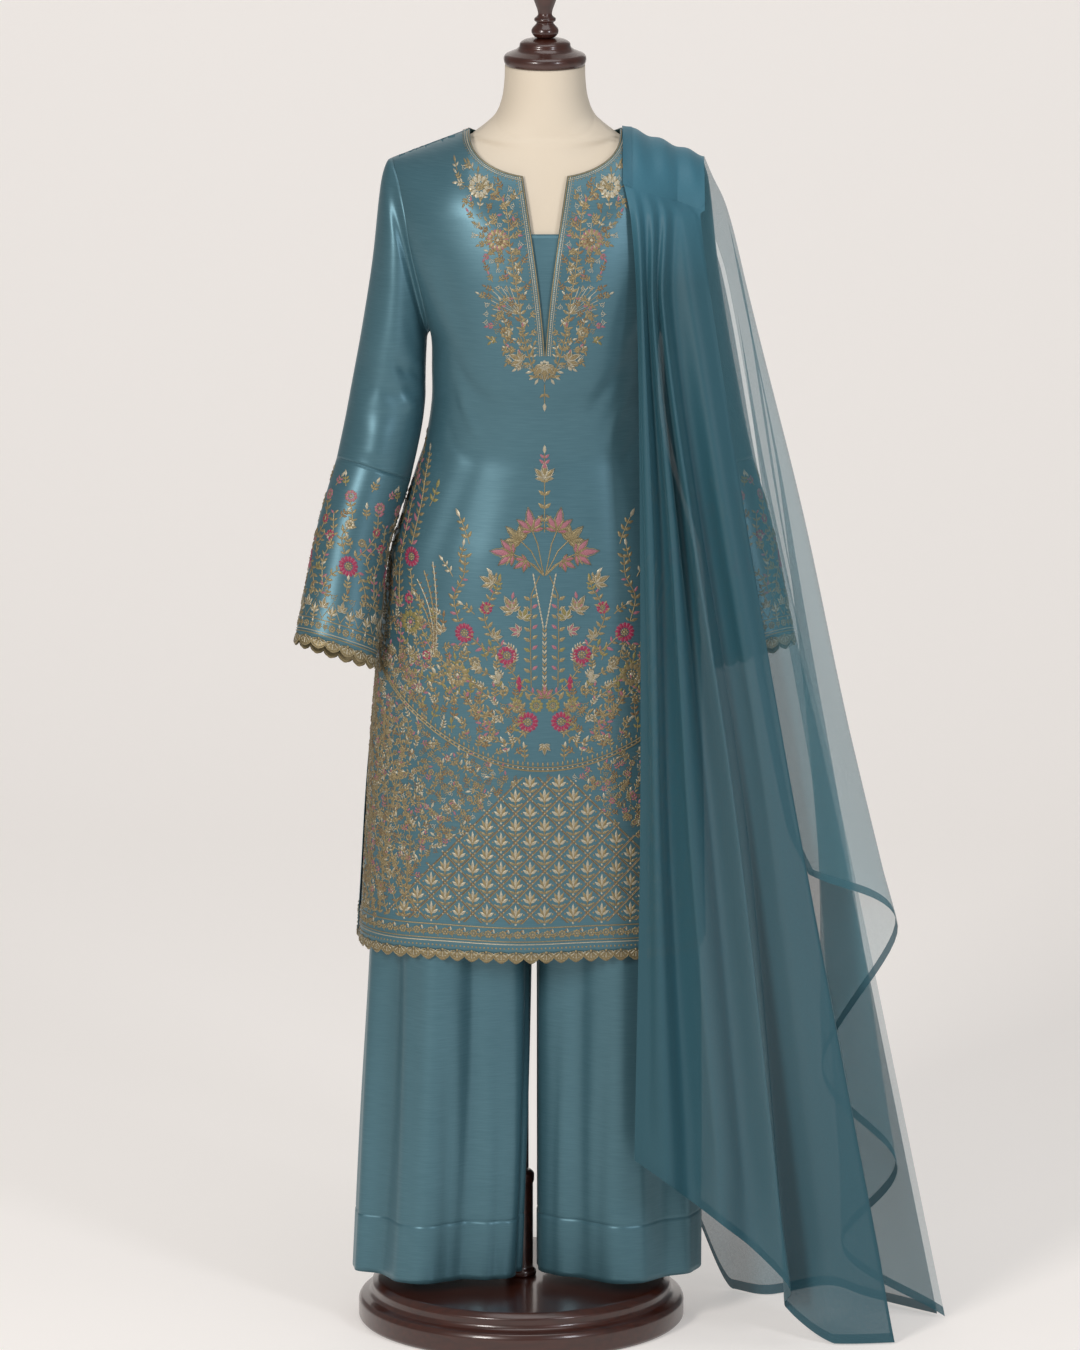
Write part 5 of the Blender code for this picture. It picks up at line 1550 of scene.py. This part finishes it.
# %% The flowering tree
def tree_half():
    """The right half of the tree and its branches, in millimetres from the centre line and floor."""
    motif = []
    for u, v, turn, size, thread in (
        (15, 1002, -10, 27, "rose"), (29, 990, -46, 23, "gold"), (38, 974, -84, 27, "rose"), (22, 966, -122, 17, "rose"),
    ):
        motif += moved(palmette(size, thread), u, v, turn)
        motif += cord("gold", [(1, 948), (0.55 * u, lerp(948, v, 0.7)), (u, v)], 1.5, 1.0)
    for u, v, turn, size, thread in (
        (38, 905, -30, 20, "gold"), (26, 896, 20, 15, "olive"), (62, 938, -62, 17, "gold"), (30, 880, -70, 13, "rose"),
        (60, 872, 34, 12, "gold"), (78, 836, -100, 12, "gold"), (54, 822, -74, 13, "pale"), (126, 876, -30, 13, "gold"),
    ):
        motif += moved(palmette(size, thread, "pale"), u, v, turn)
    for k in range(9):
        v = 818 + 12.5 * k
        motif += moved(leaf("gold" if k % 3 else "olive", 9.5, 4.6, 1.2), 17, v, -58)
        motif += moved(leaf("rose" if k % 2 else "gold", 8.5, 4.2, 1.2), 15, v + 3, 52)
    motif += cord("gold", [(16, 812), (17, 870), (16, 925), (6, 948)], 1.3, 0.9)
    motif += moved(leaf("magenta", 22, 7.5, 1.3), 30, 806, -4)
    motif += moved(leaf("gold", 13, 5.0, 1.2), 17, 796, -30)
    for u, v, radius, petals, thread, heart in (
        (45, 851, 12.5, 13, "magenta", "gold"), (97, 877, 12.5, 13, "magenta", "gold"),
        (20, 770, 13.0, 13, "magenta", "gold"), (170, 962, 12.5, 13, "magenta", "gold"),
        (106, 825, 15.5, 12, "gold", "pale"), (169, 884, 15.5, 12, "olive", "rose"),
        (70, 908, 8.0, 9, "magenta", "gold"), (172, 912, 7.0, 8, "magenta", "pale"),
        (10, 790, 9.0, 10, "olive", "gold"), (33, 789, 8.5, 10, "gold", "rose"),
        (146, 846, 6.5, 8, "magenta", "gold"), (84, 842, 7.5, 9, "gold", "pale"),
    ):
        motif += moved(rosette(radius, petals, thread, heart, "rose" if thread == "magenta" else None), u, v)
    return motif


def branches_half():
    """Stems, sprays and feathers of the right half."""
    motif = []
    for path, size, seed in (
        (((6, 800), (24, 812), (40, 832), (47, 842)), 6, 1), (((52, 862), (66, 880), (72, 900), (60, 930)), 7, 2),
        (((36, 789), (60, 776), (84, 782), (100, 806)), 7, 4), (((98, 864), (92, 848), (104, 838)), 6, 5),
        (((58, 852), (72, 858), (88, 872)), 7, 6), (((104, 890), (110, 920), (98, 946), (96, 972)), 7, 7),
        (((118, 836), (136, 850), (150, 872), (160, 896)), 7, 8), (((170, 900), (168, 930), (171, 948)), 5, 9),
        (((171, 976), (166, 1000), (160, 1030), (158, 1064)), 9, 10),
        (((186, 900), (190, 950), (184, 1010), (176, 1076)), 8, 11),
        (((44, 812), (64, 800), (78, 808), (90, 820)), 6, 12), (((70, 740), (66, 766), (78, 790), (74, 812)), 7, 13),
        (((24, 757), (40, 744), (58, 748), (70, 764)), 6, 14), (((150, 800), (136, 818), (142, 838)), 6, 15),
    ):
        motif += vine(path, size, 8, "gold", "rose", seed)
    motif += moved(plume(112, 4, 0.34), 134, 850, 4, mirror=False)
    for u, v, turn, length, pairs, size, thread in (
        (91, 984, -16, 34, 3, 10, "gold"), (104, 962, 22, 20, 2, 8, "gold"), (112, 944, -30, 22, 2, 8, "pale"),
        (158, 1060, 10, 26, 3, 9, "gold"), (146, 1024, 30, 24, 2, 10, "olive"), (168, 1040, -26, 26, 3, 9, "rose"),
        (176, 1072, -4, 30, 3, 8, "gold"), (60, 926, 26, 16, 2, 8, "olive"), (52, 934, -28, 18, 2, 9, "gold"),
        (44, 902, 24, 18, 2, 8, "rose"), (84, 900, -46, 18, 2, 8, "gold"), (64, 826, -60, 18, 2, 8, "gold"),
        (122, 806, -24, 22, 2, 9, "gold"), (128, 872, 18, 22, 2, 8, "antique"), (60, 764, -70, 16, 2, 7, "rose"),
        (44, 728, -12, 18, 2, 7, "pale"), (92, 748, -20, 20, 2, 8, "gold"), (112, 768, 14, 20, 2, 8, "antique"),
        (130, 790, -18, 20, 2, 8, "gold"), (24, 722, 6, 16, 2, 7, "gold"), (150, 900, -30, 20, 2, 8, "gold"),
        (196, 930, -12, 26, 3, 8, "gold"), (200, 870, -16, 24, 3, 8, "gold"), (186, 850, 12, 24, 2, 8, "rose"),
    ):
        motif += moved(sprig(length, pairs, size, thread, "pale" if thread == "gold" else None, 0.12), u, v, turn)
    return motif


def tree_fill(half):
    """Twigs between the branches, clear of the flowers and the chains."""
    chance = np.random.default_rng(4)
    kinds = (sprig(12, 2, 7.0, "gold", "pale", 0.2), sprig(11, 2, 6.4, "gold", "rose", -0.2), scroll(4.0), sprig(10, 1, 8.0, "olive"),
             sprig(12, 3, 5.6, "pale", None, 0.3), sprig(11, 2, 6.6, "antique", "gold"))
    taken = np.array([shape[1].mean(axis=0)[:2] for shape in half])
    motif = []
    for v in np.arange(722.0, 1070.0, 11.0):
        for u in np.arange(26.0, 250.0, 11.0):
            a, b = u + chance.uniform(-3, 3), v + chance.uniform(-3, 3)
            low = 716 + 0.0024 * a * a
            high = 860 if a < 118 else 905 if a < 196 else 1050
            if not low < b < high or min(np.hypot(taken[:, 0] - a, taken[:, 1] - b - 5)) < 7.5:
                continue
            motif += moved(kinds[chance.integers(len(kinds))], a, b, chance.uniform(-60, 60))
    return motif


spike = moved(sprig(72, 4, 11, "gold", "rose"), 0, 1000) + moved(palmette(20, "gold", "pale"), 0, 1064)
spike += moved(sprig(18, 2, 9, "rose", "pale"), 0, 1076)
stem = []
for row, v in enumerate(np.arange(806.0, 884.0, 5.2)):
    stem += moved(leaf("pale" if row % 2 else "gold", 6.5, 2.4), 0, v, 24)
    stem += moved(leaf("pale" if row % 2 else "gold", 6.5, 2.4), 0, v, -24)
for side in (-1, 1):
    chain_v = np.arange(884.0, 948.0, 4.4)
    for v in chain_v:
        stem += moved(leaf("pale", 5.6, 2.4), side * 0.19 * (v - 878), v, -side * 11)
stem += moved(palmette(17, "rose", "gold"), 0, 800) + moved(palmette(12, "gold", "pale"), 0, 742, 180)
half_motif = tree_half() + branches_half()
skirt_motif = both_sides(half_motif + tree_fill(half_motif)) + spike + stem
print("Tree shapes:", len(skirt_motif))


# %% The trellis
LATTICE_U, LATTICE_V, LATTICE_TOP = 35.0, 35.5, 694.0
BORDER_LOW, BORDER_HIGH = 501.0, 518.0


def arch_height(u):
    return 710.0 + 0.0024 * u * u


def in_trellis(u, v):
    """Whether a place lies in the diamond trellis under the arch."""
    return BORDER_HIGH < v < arch_height(u) - 6 and abs(u) < 42 + 1.05 * (LATTICE_TOP - v)


def trellis():
    """Double lines that cross in diamonds, and a bud in each diamond."""
    motif = []
    for k in range(-9, 10):
        for lean in (-1, 1):
            for off in (-0.9, 0.9):
                v = np.arange(BORDER_HIGH, 712.0, 5.0)
                u = LATTICE_U * (k + lean * (v - LATTICE_TOP) / LATTICE_V) + off
                keep = [in_trellis(a, b) for a, b in zip(u, v)]
                line = np.stack([u, v], axis=-1)[keep]
                if len(line) > 2:
                    motif += cord("gold" if off > 0 else "antique", line, 1.1, 0.8)
    for row in range(0, 11):
        v = LATTICE_TOP - LATTICE_V * row / 2
        for column in range(-7, 8):
            u = LATTICE_U * (column + ((row + 1) % 2) / 2)
            if in_trellis(u, v - 11) and in_trellis(u, v + 9):
                motif += moved(bud(25), u, v - 12)
                for a, b in ((-10, 0), (10, 0), (-7.5, -6), (7.5, -6)):
                    motif += bead("gold", 1.3, u + a, v + b)
            for a, b in ((0, 0), (-3, 3), (3, 3), (3, -3), (-3, -3)):
                if in_trellis(u + LATTICE_U / 2, v):
                    motif += bead("pale", 1.3, u + LATTICE_U / 2 + a, v + b)
    return motif


arch_u = np.arange(-264.0, 265.0, 5.0)
arch = []
for off, width in ((0.0, 2.0), (4.0, 1.6)):
    arch += cord("gold", np.stack([arch_u, arch_height(arch_u) + off], axis=-1), width, 1.8)
for u in np.arange(-260.0, 261.0, 6.0):
    arch += bead("pale", 1.2, u, arch_height(u) + 2.0) + moved(leaf("gold", 6.0, 2.6), u, arch_height(u) + 5)
print("Trellis shapes:", len(trellis()))


# %% The dense vines beside the trellis
def dense_vines():
    """Small sprigs, tendrils and flowers close together, with long stems between them."""
    chance = np.random.default_rng(11)
    kinds = [
        sprig(10, 2, 5.6, "gold", None, 0.2), sprig(9, 2, 5.2, "antique", "gold", -0.2), scroll(3.4), scroll(4.0),
        sprig(9, 2, 5.4, "gold", "rose", 0.1), sprig(10, 2, 5.0, "pale", None, 0.3), scroll(3.0, "antique"),
        sprig(9, 1, 6.4, "gold", "pale", -0.3), rosette(4.2, 6, "gold", "rose"), sprig(9, 2, 5.2, "rose", "gold", 0.1),
        scroll(3.2, "pale"), sprig(11, 3, 4.6, "gold", "gold", 0.25),
    ]
    motif = []
    for v in np.arange(BORDER_HIGH + 5, 850.0, 7.8):
        for u in np.arange(-262.0, 263.0, 7.8):
            a, b = u + chance.uniform(-2.6, 2.6), v + chance.uniform(-2.6, 2.6)
            kind, turn = kinds[chance.integers(len(kinds))], chance.uniform(-75, 75)
            above = b > arch_height(a) - 3
            if abs(b - arch_height(a) - 2) < 7:
                continue
            if in_trellis(a, b) or above and (abs(a) < 150 or b > arch_height(a) + 150 - 0.35 * abs(a)):
                continue
            motif += moved(kind, a, b - 4, turn)
    for k in range(9):
        start = 176 + 9.5 * k
        v = np.arange(524.0, 770.0 + 8 * k, 20.0)
        u = start + 6 * np.sin(v / 21.0 + 1.7 * k) - 0.15 * np.maximum(0, 640 - v)
        motif += both_sides(vine(np.stack([u, v], axis=-1), 5.5, 9, "gold", "antique", 20 + k))
    return motif


print("Dense vine shapes:", len(dense_vines()))


# %% The hem's border and lace
def hem_border(left, right):
    """A line above, a double line below, and a row of small flowers between them."""
    motif = []
    u = np.arange(left, right, 4.0)
    for v, width, thread in ((BORDER_HIGH, 1.6, "gold"), (BORDER_LOW, 1.4, "gold"), (BORDER_LOW - 3.4, 1.4, "pale")):
        motif += cord(thread, np.stack([u, np.full(len(u), v)], axis=-1), width, 1.0)
    for place in np.arange(left + 3, right - 2, 5.0):
        motif += bead("gold", 1.3, place, BORDER_LOW - 8.6)
    flower, twig = rosette(5.2, 7, "gold", "pale"), sprig(7, 2, 5.2, "gold", "pale")
    for k, place in enumerate(np.arange(left + 6, right - 4, 9.0)):
        if k % 2:
            motif += moved(flower, place, 509.6)
        else:
            motif += moved(twig, place, 503.4, 12) + moved(scroll(2.6), place + 4, 512, 160)
            motif += moved(leaf("antique", 5, 2.2), place - 2, 515.6, 120)
    return motif


SCALLOP_W = 18.5


def lace_fans(left, right, top, scallops):
    """A fan of cords and beads in each scallop, and a cord round its rim."""
    motif = []
    pitch = (right - left) / scallops
    for k in range(scallops):
        centre = left + pitch * (k + 0.5)
        for step in range(-3, 4):
            turn = math.radians(26.0 * step)
            reach = np.array((math.sin(turn) * 7.4, -math.cos(turn) * 8.6))
            motif += cord("gold" if step % 2 else "pale", [reach * 0.35 + (centre, top), reach + (centre, top)], 1.3, 0.9)
            motif += bead("pale", 1.0, *(reach * 1.02 + (centre, top)))
        motif += bead("gold", 1.9, centre, top - 0.6)
        rim = [(centre + pitch / 2 * math.cos(a), top - 3.4 - 8.2 * math.sin(a) ** 0.8)
               for a in np.linspace(0.02, math.pi - 0.02, 11)]
        motif += cord("gold", rim, 1.5, 1.0)
        motif += bead("pale", 1.2, left + pitch * k, top - 3.0)
    return motif


def lace_strip(lay, left, right, top, scallops):
    """The net that carries the fans, cut in half rounds below."""
    pitch = (right - left) / scallops
    u = np.linspace(left, right, scallops * 10 + 1)
    phase = ((u - left) / pitch) % 1.0
    low = top - 3.4 - 8.2 * np.sin(math.pi * np.clip(phase, 0.02, 0.98)) ** 0.8
    rows = [np.stack([u, lerp(top, low, t), np.full(len(u), -0.2)], axis=-1) * MM for t in (0.0, 0.35, 0.7, 1.0)]
    return np.array([lay(row) for row in rows])


print("Scallops along the front:", round((front_edges[5, 2] - front_edges[5, 1]) / MM / SCALLOP_W))


# %% Sewing the skirt
def panel_lace(name, lay, edges, cloth):
    """The scalloped edging of one panel."""
    left, right = edges[5, 1] / MM + 0.5, edges[5, 2] / MM - 0.5
    scallops = round((right - left) / SCALLOP_W)
    strip = add_cloth(f"hem_edging_{name}_lace", [lace_strip(lay, left, right, 485.2, scallops)], threads["gold"], wall=0.0006)
    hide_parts(f"hem_edging_{name}")
    strip["trim_of"] = cloth.name
    return lace_fans(left, right, 487.6, scallops) + hem_border(left, right)


whole_motif = inside(skirt_motif + arch + trellis() + dense_vines(), front_edges)
front_motif = whole_motif + panel_lace("front", front_chart, front_edges, kameez_front)
sew("skirt_front", [(front_chart, front_motif)], kameez_front)
sew("skirt_back", [(back_chart, panel_lace("back", back_chart, back_edges, kameez_back))], kameez_back)

# %% [markdown]
# ## The cuffs
# Each cuff panel is worked all round: a scalloped edging, a border between two lines, a
# zigzag of sprigs, and above it loose vines with a magenta rosette on each face.


# %% The cuffs
def cuff_motif(girth):
    """The work on one cuff, in millimetres round it and up from its hem."""
    motif = []
    u = np.linspace(0.0, girth, 90)
    for v, width, thread in ((6.0, 1.4, "gold"), (9.2, 1.2, "pale"), (24.0, 1.4, "gold")):
        motif += cord(thread, np.stack([u, np.full(len(u), v)], axis=-1), width, 1.0)
    count = 4 * round(girth / 4 / 9.3)
    pitch = girth / count
    for k in range(count):
        motif += moved(rosette(4.8, 7, "gold", "pale") if k % 2 else sprig(7, 2, 5.0, "gold", "pale"),
                       pitch * k, 16.6 if k % 2 else 12.0)
    for k in range(12):
        wide = girth / 12
        motif += cord("gold", [(wide * k, 26), (wide * (k + 0.5), 48), (wide * (k + 1), 26)], 1.2, 0.8)
        motif += moved(bud(20), wide * (k + 0.5), 25) + moved(palmette(11, "gold", "pale"), wide * k, 40)
        motif += moved(scroll(4.2), wide * (k + 0.5), 50, 20) + moved(sprig(12, 2, 7, "gold", "antique"), wide * k, 50, -14)
    face = girth / 4
    for k in range(4):
        at = face * (k + 0.5) + face * 0.5
        motif += moved(rosette(13.0, 14, "magenta", "gold", "rose"), at, 96)
        for path, size, seed in (
            (((-30, 56), (-24, 76), (-12, 88)), 7, 3), (((13, 92), (24, 76), (30, 60)), 7, 4),
            (((-6, 109), (-14, 130), (-6, 150), (-16, 176)), 7, 5), (((8, 108), (20, 124), (28, 146), (22, 170)), 7, 6),
            (((-30, 66), (-34, 96), (-26, 124), (-32, 156)), 6, 7), (((30, 96), (22, 110), (34, 130)), 6, 8),
        ):
            motif += moved(vine(path, size, 8, "gold", "rose", seed + 10 * k), at)
        for u, v, radius, thread in ((-16, 180, 8, "rose"), (22, 176, 7.5, "rose"), (-8, 146, 6.5, "pale"),
                                     (28, 146, 6, "magenta"), (-30, 128, 6.5, "magenta"), (12, 128, 5.5, "gold")):
            motif += moved(rosette(radius, 8, thread, "pale", "gold"), at + u, v)
        for u, v, turn, thread in ((-26, 190, 20, "olive"), (6, 192, -10, "gold"), (30, 188, -24, "rose"),
                                   (0, 118, 30, "gold"), (-22, 112, 40, "gold"), (24, 84, -60, "olive"),
                                   (-22, 150, -30, "antique"), (10, 158, 16, "gold"), (2, 66, 0, "gold")):
            motif += moved(sprig(12, 2, 7.5, thread, "pale"), at + u, v, turn)
    return motif


for name, cloth in (("right", cuff_right), ("left", cuff_left)):
    lay, girth = cuff_charts[name]
    girth = girth / MM

    def past_hem(flat, lay=lay):
        """Places below the hem carry on in the line of the cuff."""
        low = lay(np.column_stack([flat[:, 0], np.zeros(len(flat)), flat[:, 2]]))
        high = lay(np.column_stack([flat[:, 0], np.full(len(flat), 0.01), flat[:, 2]]))
        return np.where(flat[:, 1:2] < 0, low + (low - high) * flat[:, 1:2] / -0.01, lay(flat))

    strip_points = lace_strip(past_hem, 0.0, girth, 0.4, 15)[:, :-1]
    strip = add_cloth(f"cuff_edging_{name}_lace", [strip_points], threads["gold"], wall=0.0006, wrap=True)
    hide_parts(f"cuff_edging_{name}")
    strip["trim_of"] = cloth.name
    sew(f"cuff_{name}", [(past_hem, cuff_motif(girth) + lace_fans(0.0, girth, 2.0, 15))], cloth)

# %% [markdown]
# ## Cloth sizes
# Each sheet is listed with the size that it was cut to, before it was sewn or hung, and its name and size are printed.

# %% Cloth sizes
CUTS = (
    # piece, width, length, area of the cut, how it is held, what it rests on
    (kameez_front, 0.56, 1.00, 0.42, "draped", "form_torso"),
    (kameez_back, 0.56, 1.00, 0.43, "draped", "form_torso"),
    (inset, 0.068, 0.175, 0.0119, "laid", "kameez_front"),
    (sleeve_right, 0.38, 0.40, 0.10, "hung", "kameez_front"),
    (sleeve_left, 0.38, 0.40, 0.10, "hung", "kameez_front"),
    (cuff_right, 0.30, 0.24, 0.058, "hung", "sleeve_right"),
    (cuff_left, 0.30, 0.24, 0.058, "hung", "sleeve_left"),
    (trousers["trouser_right_front"], 0.30, 1.00, 0.26, "hung", "waistband"),
    (trousers["trouser_right_back"], 0.30, 1.00, 0.26, "hung", "waistband"),
    (trousers["trouser_left_front"], 0.30, 1.00, 0.26, "hung", "waistband"),
    (trousers["trouser_left_back"], 0.30, 1.00, 0.26, "hung", "waistband"),
    (waistband, 0.80, 0.036, None, "gathered", "form_torso"),
    (dupatta["front"][0], 0.42, 1.42, 0.42, "draped", "kameez_front"),
    (dupatta["side"][0], 0.45, 1.42, 0.35, "draped", "kameez_front"),
    (dupatta["back"][0], 0.42, 1.50, 0.45, "draped", "kameez_back"),
    (dupatta["shoulder"][0], 0.12, 0.20, None, "draped", "kameez_front"),
)
for piece, width, length, area, held, rests_on in CUTS:
    print(piece.name, width, "x", length)

# %% [markdown]
# ## Floor, light and camera
# A plain pale floor runs up into the backdrop without a corner, as a paper roll does.
# The roll is narrow, so a camera that walks round the garment sees past it.
# A large soft light stands in front on the left and a weaker one fills the right. The
# camera has a long lens and looks a little down, so the hem's curve shows.


# %% Floor and backdrop
def make_paper():
    paper = new_material(
        "backdrop_paper", linear("d6d2ce"), Roughness=0.95, Emission_Color=linear("f3efec"), Emission_Strength=0.38)
    fibres = stretched_noise(paper, (60.0, 60.0, 60.0), 3.0)
    bump = add_node(paper, "ShaderNodeBump", {"Height": (fibres, "Fac"), "Strength": 0.03, "Distance": 0.001})
    link_shader(paper, "Normal", bump, "Normal")
    return paper


SWEEP_Y, SWEEP_R = 2.6, 1.6
FLOOR_HALF, ROLL_HALF = 9.0, 1.8
arc = np.linspace(0.0, math.pi / 2, 24)
sweep = [(-14.0, 0.0), (-4.0, 0.0), (0.0, 0.0), (SWEEP_Y, 0.0)]
sweep += [(SWEEP_Y + SWEEP_R * math.sin(a), SWEEP_R * (1 - math.cos(a))) for a in arc[1:]]
sweep += [(SWEEP_Y + SWEEP_R, 4.0), (SWEEP_Y + SWEEP_R, 9.0)]
roll = np.array([
    [(x * (FLOOR_HALF if z == 0.0 else ROLL_HALF), y, z) for x in np.linspace(-1.0, 1.0, 7)] for y, z in sweep
])
backdrop = add_mesh("backdrop", roll, grid_faces(len(sweep), 7), make_paper())
print("Backdrop reaches", sweep[-1])


# %% Lights and camera
def add_light(name, at, aim, width, height, power, color="ffffff"):
    """An oblong soft light, aimed at a point."""
    light = bpy.data.lights.new(name, "AREA")
    light.shape = "RECTANGLE"
    light.size = width
    light.size_y = height
    light.energy = power
    light.color = linear(color)[:3]
    item = bpy.data.objects.new(name, light)
    item.location = at
    item.rotation_euler = (Vector(aim) - Vector(at)).to_track_quat("-Z", "Y").to_euler()
    bpy.context.scene.collection.objects.link(item)


world = bpy.data.worlds.new("studio")
bpy.context.scene.world = world
world.use_nodes = True
world.node_tree.nodes["Background"].inputs["Color"].default_value = linear("f4f2f0")
world.node_tree.nodes["Background"].inputs["Strength"].default_value = 0.27
add_light("key_light", (-2.4, -4.3, 3.1), (0.0, 0.0, 1.2), 1.0, 1.9, 158.0, "fffaf6")
add_light("fill_light", (2.9, -3.9, 2.6), (0.0, 0.0, 1.1), 0.8, 2.0, 66.0, "f6f8ff")
add_light("top_light", (0.3, -0.6, 4.6), (0.0, 0.4, 0.4), 2.6, 2.6, 42.0)
camera_data = bpy.data.cameras.new("camera")
camera_data.sensor_width = 36.0
camera_data.lens = 277.7
camera_data.clip_end = 60.0
camera = bpy.data.objects.new("camera", camera_data)
bpy.context.scene.collection.objects.link(camera)
camera.location = (0.023, -12.315, 3.466)
camera.rotation_euler = (Vector((0.023, 0.0, 0.803)) - camera.location).to_track_quat("-Z", "Y").to_euler()
bpy.context.scene.camera = camera
bpy.context.scene.view_settings.view_transform = "Standard"
print("Camera at", tuple(round(v, 2) for v in camera.location))
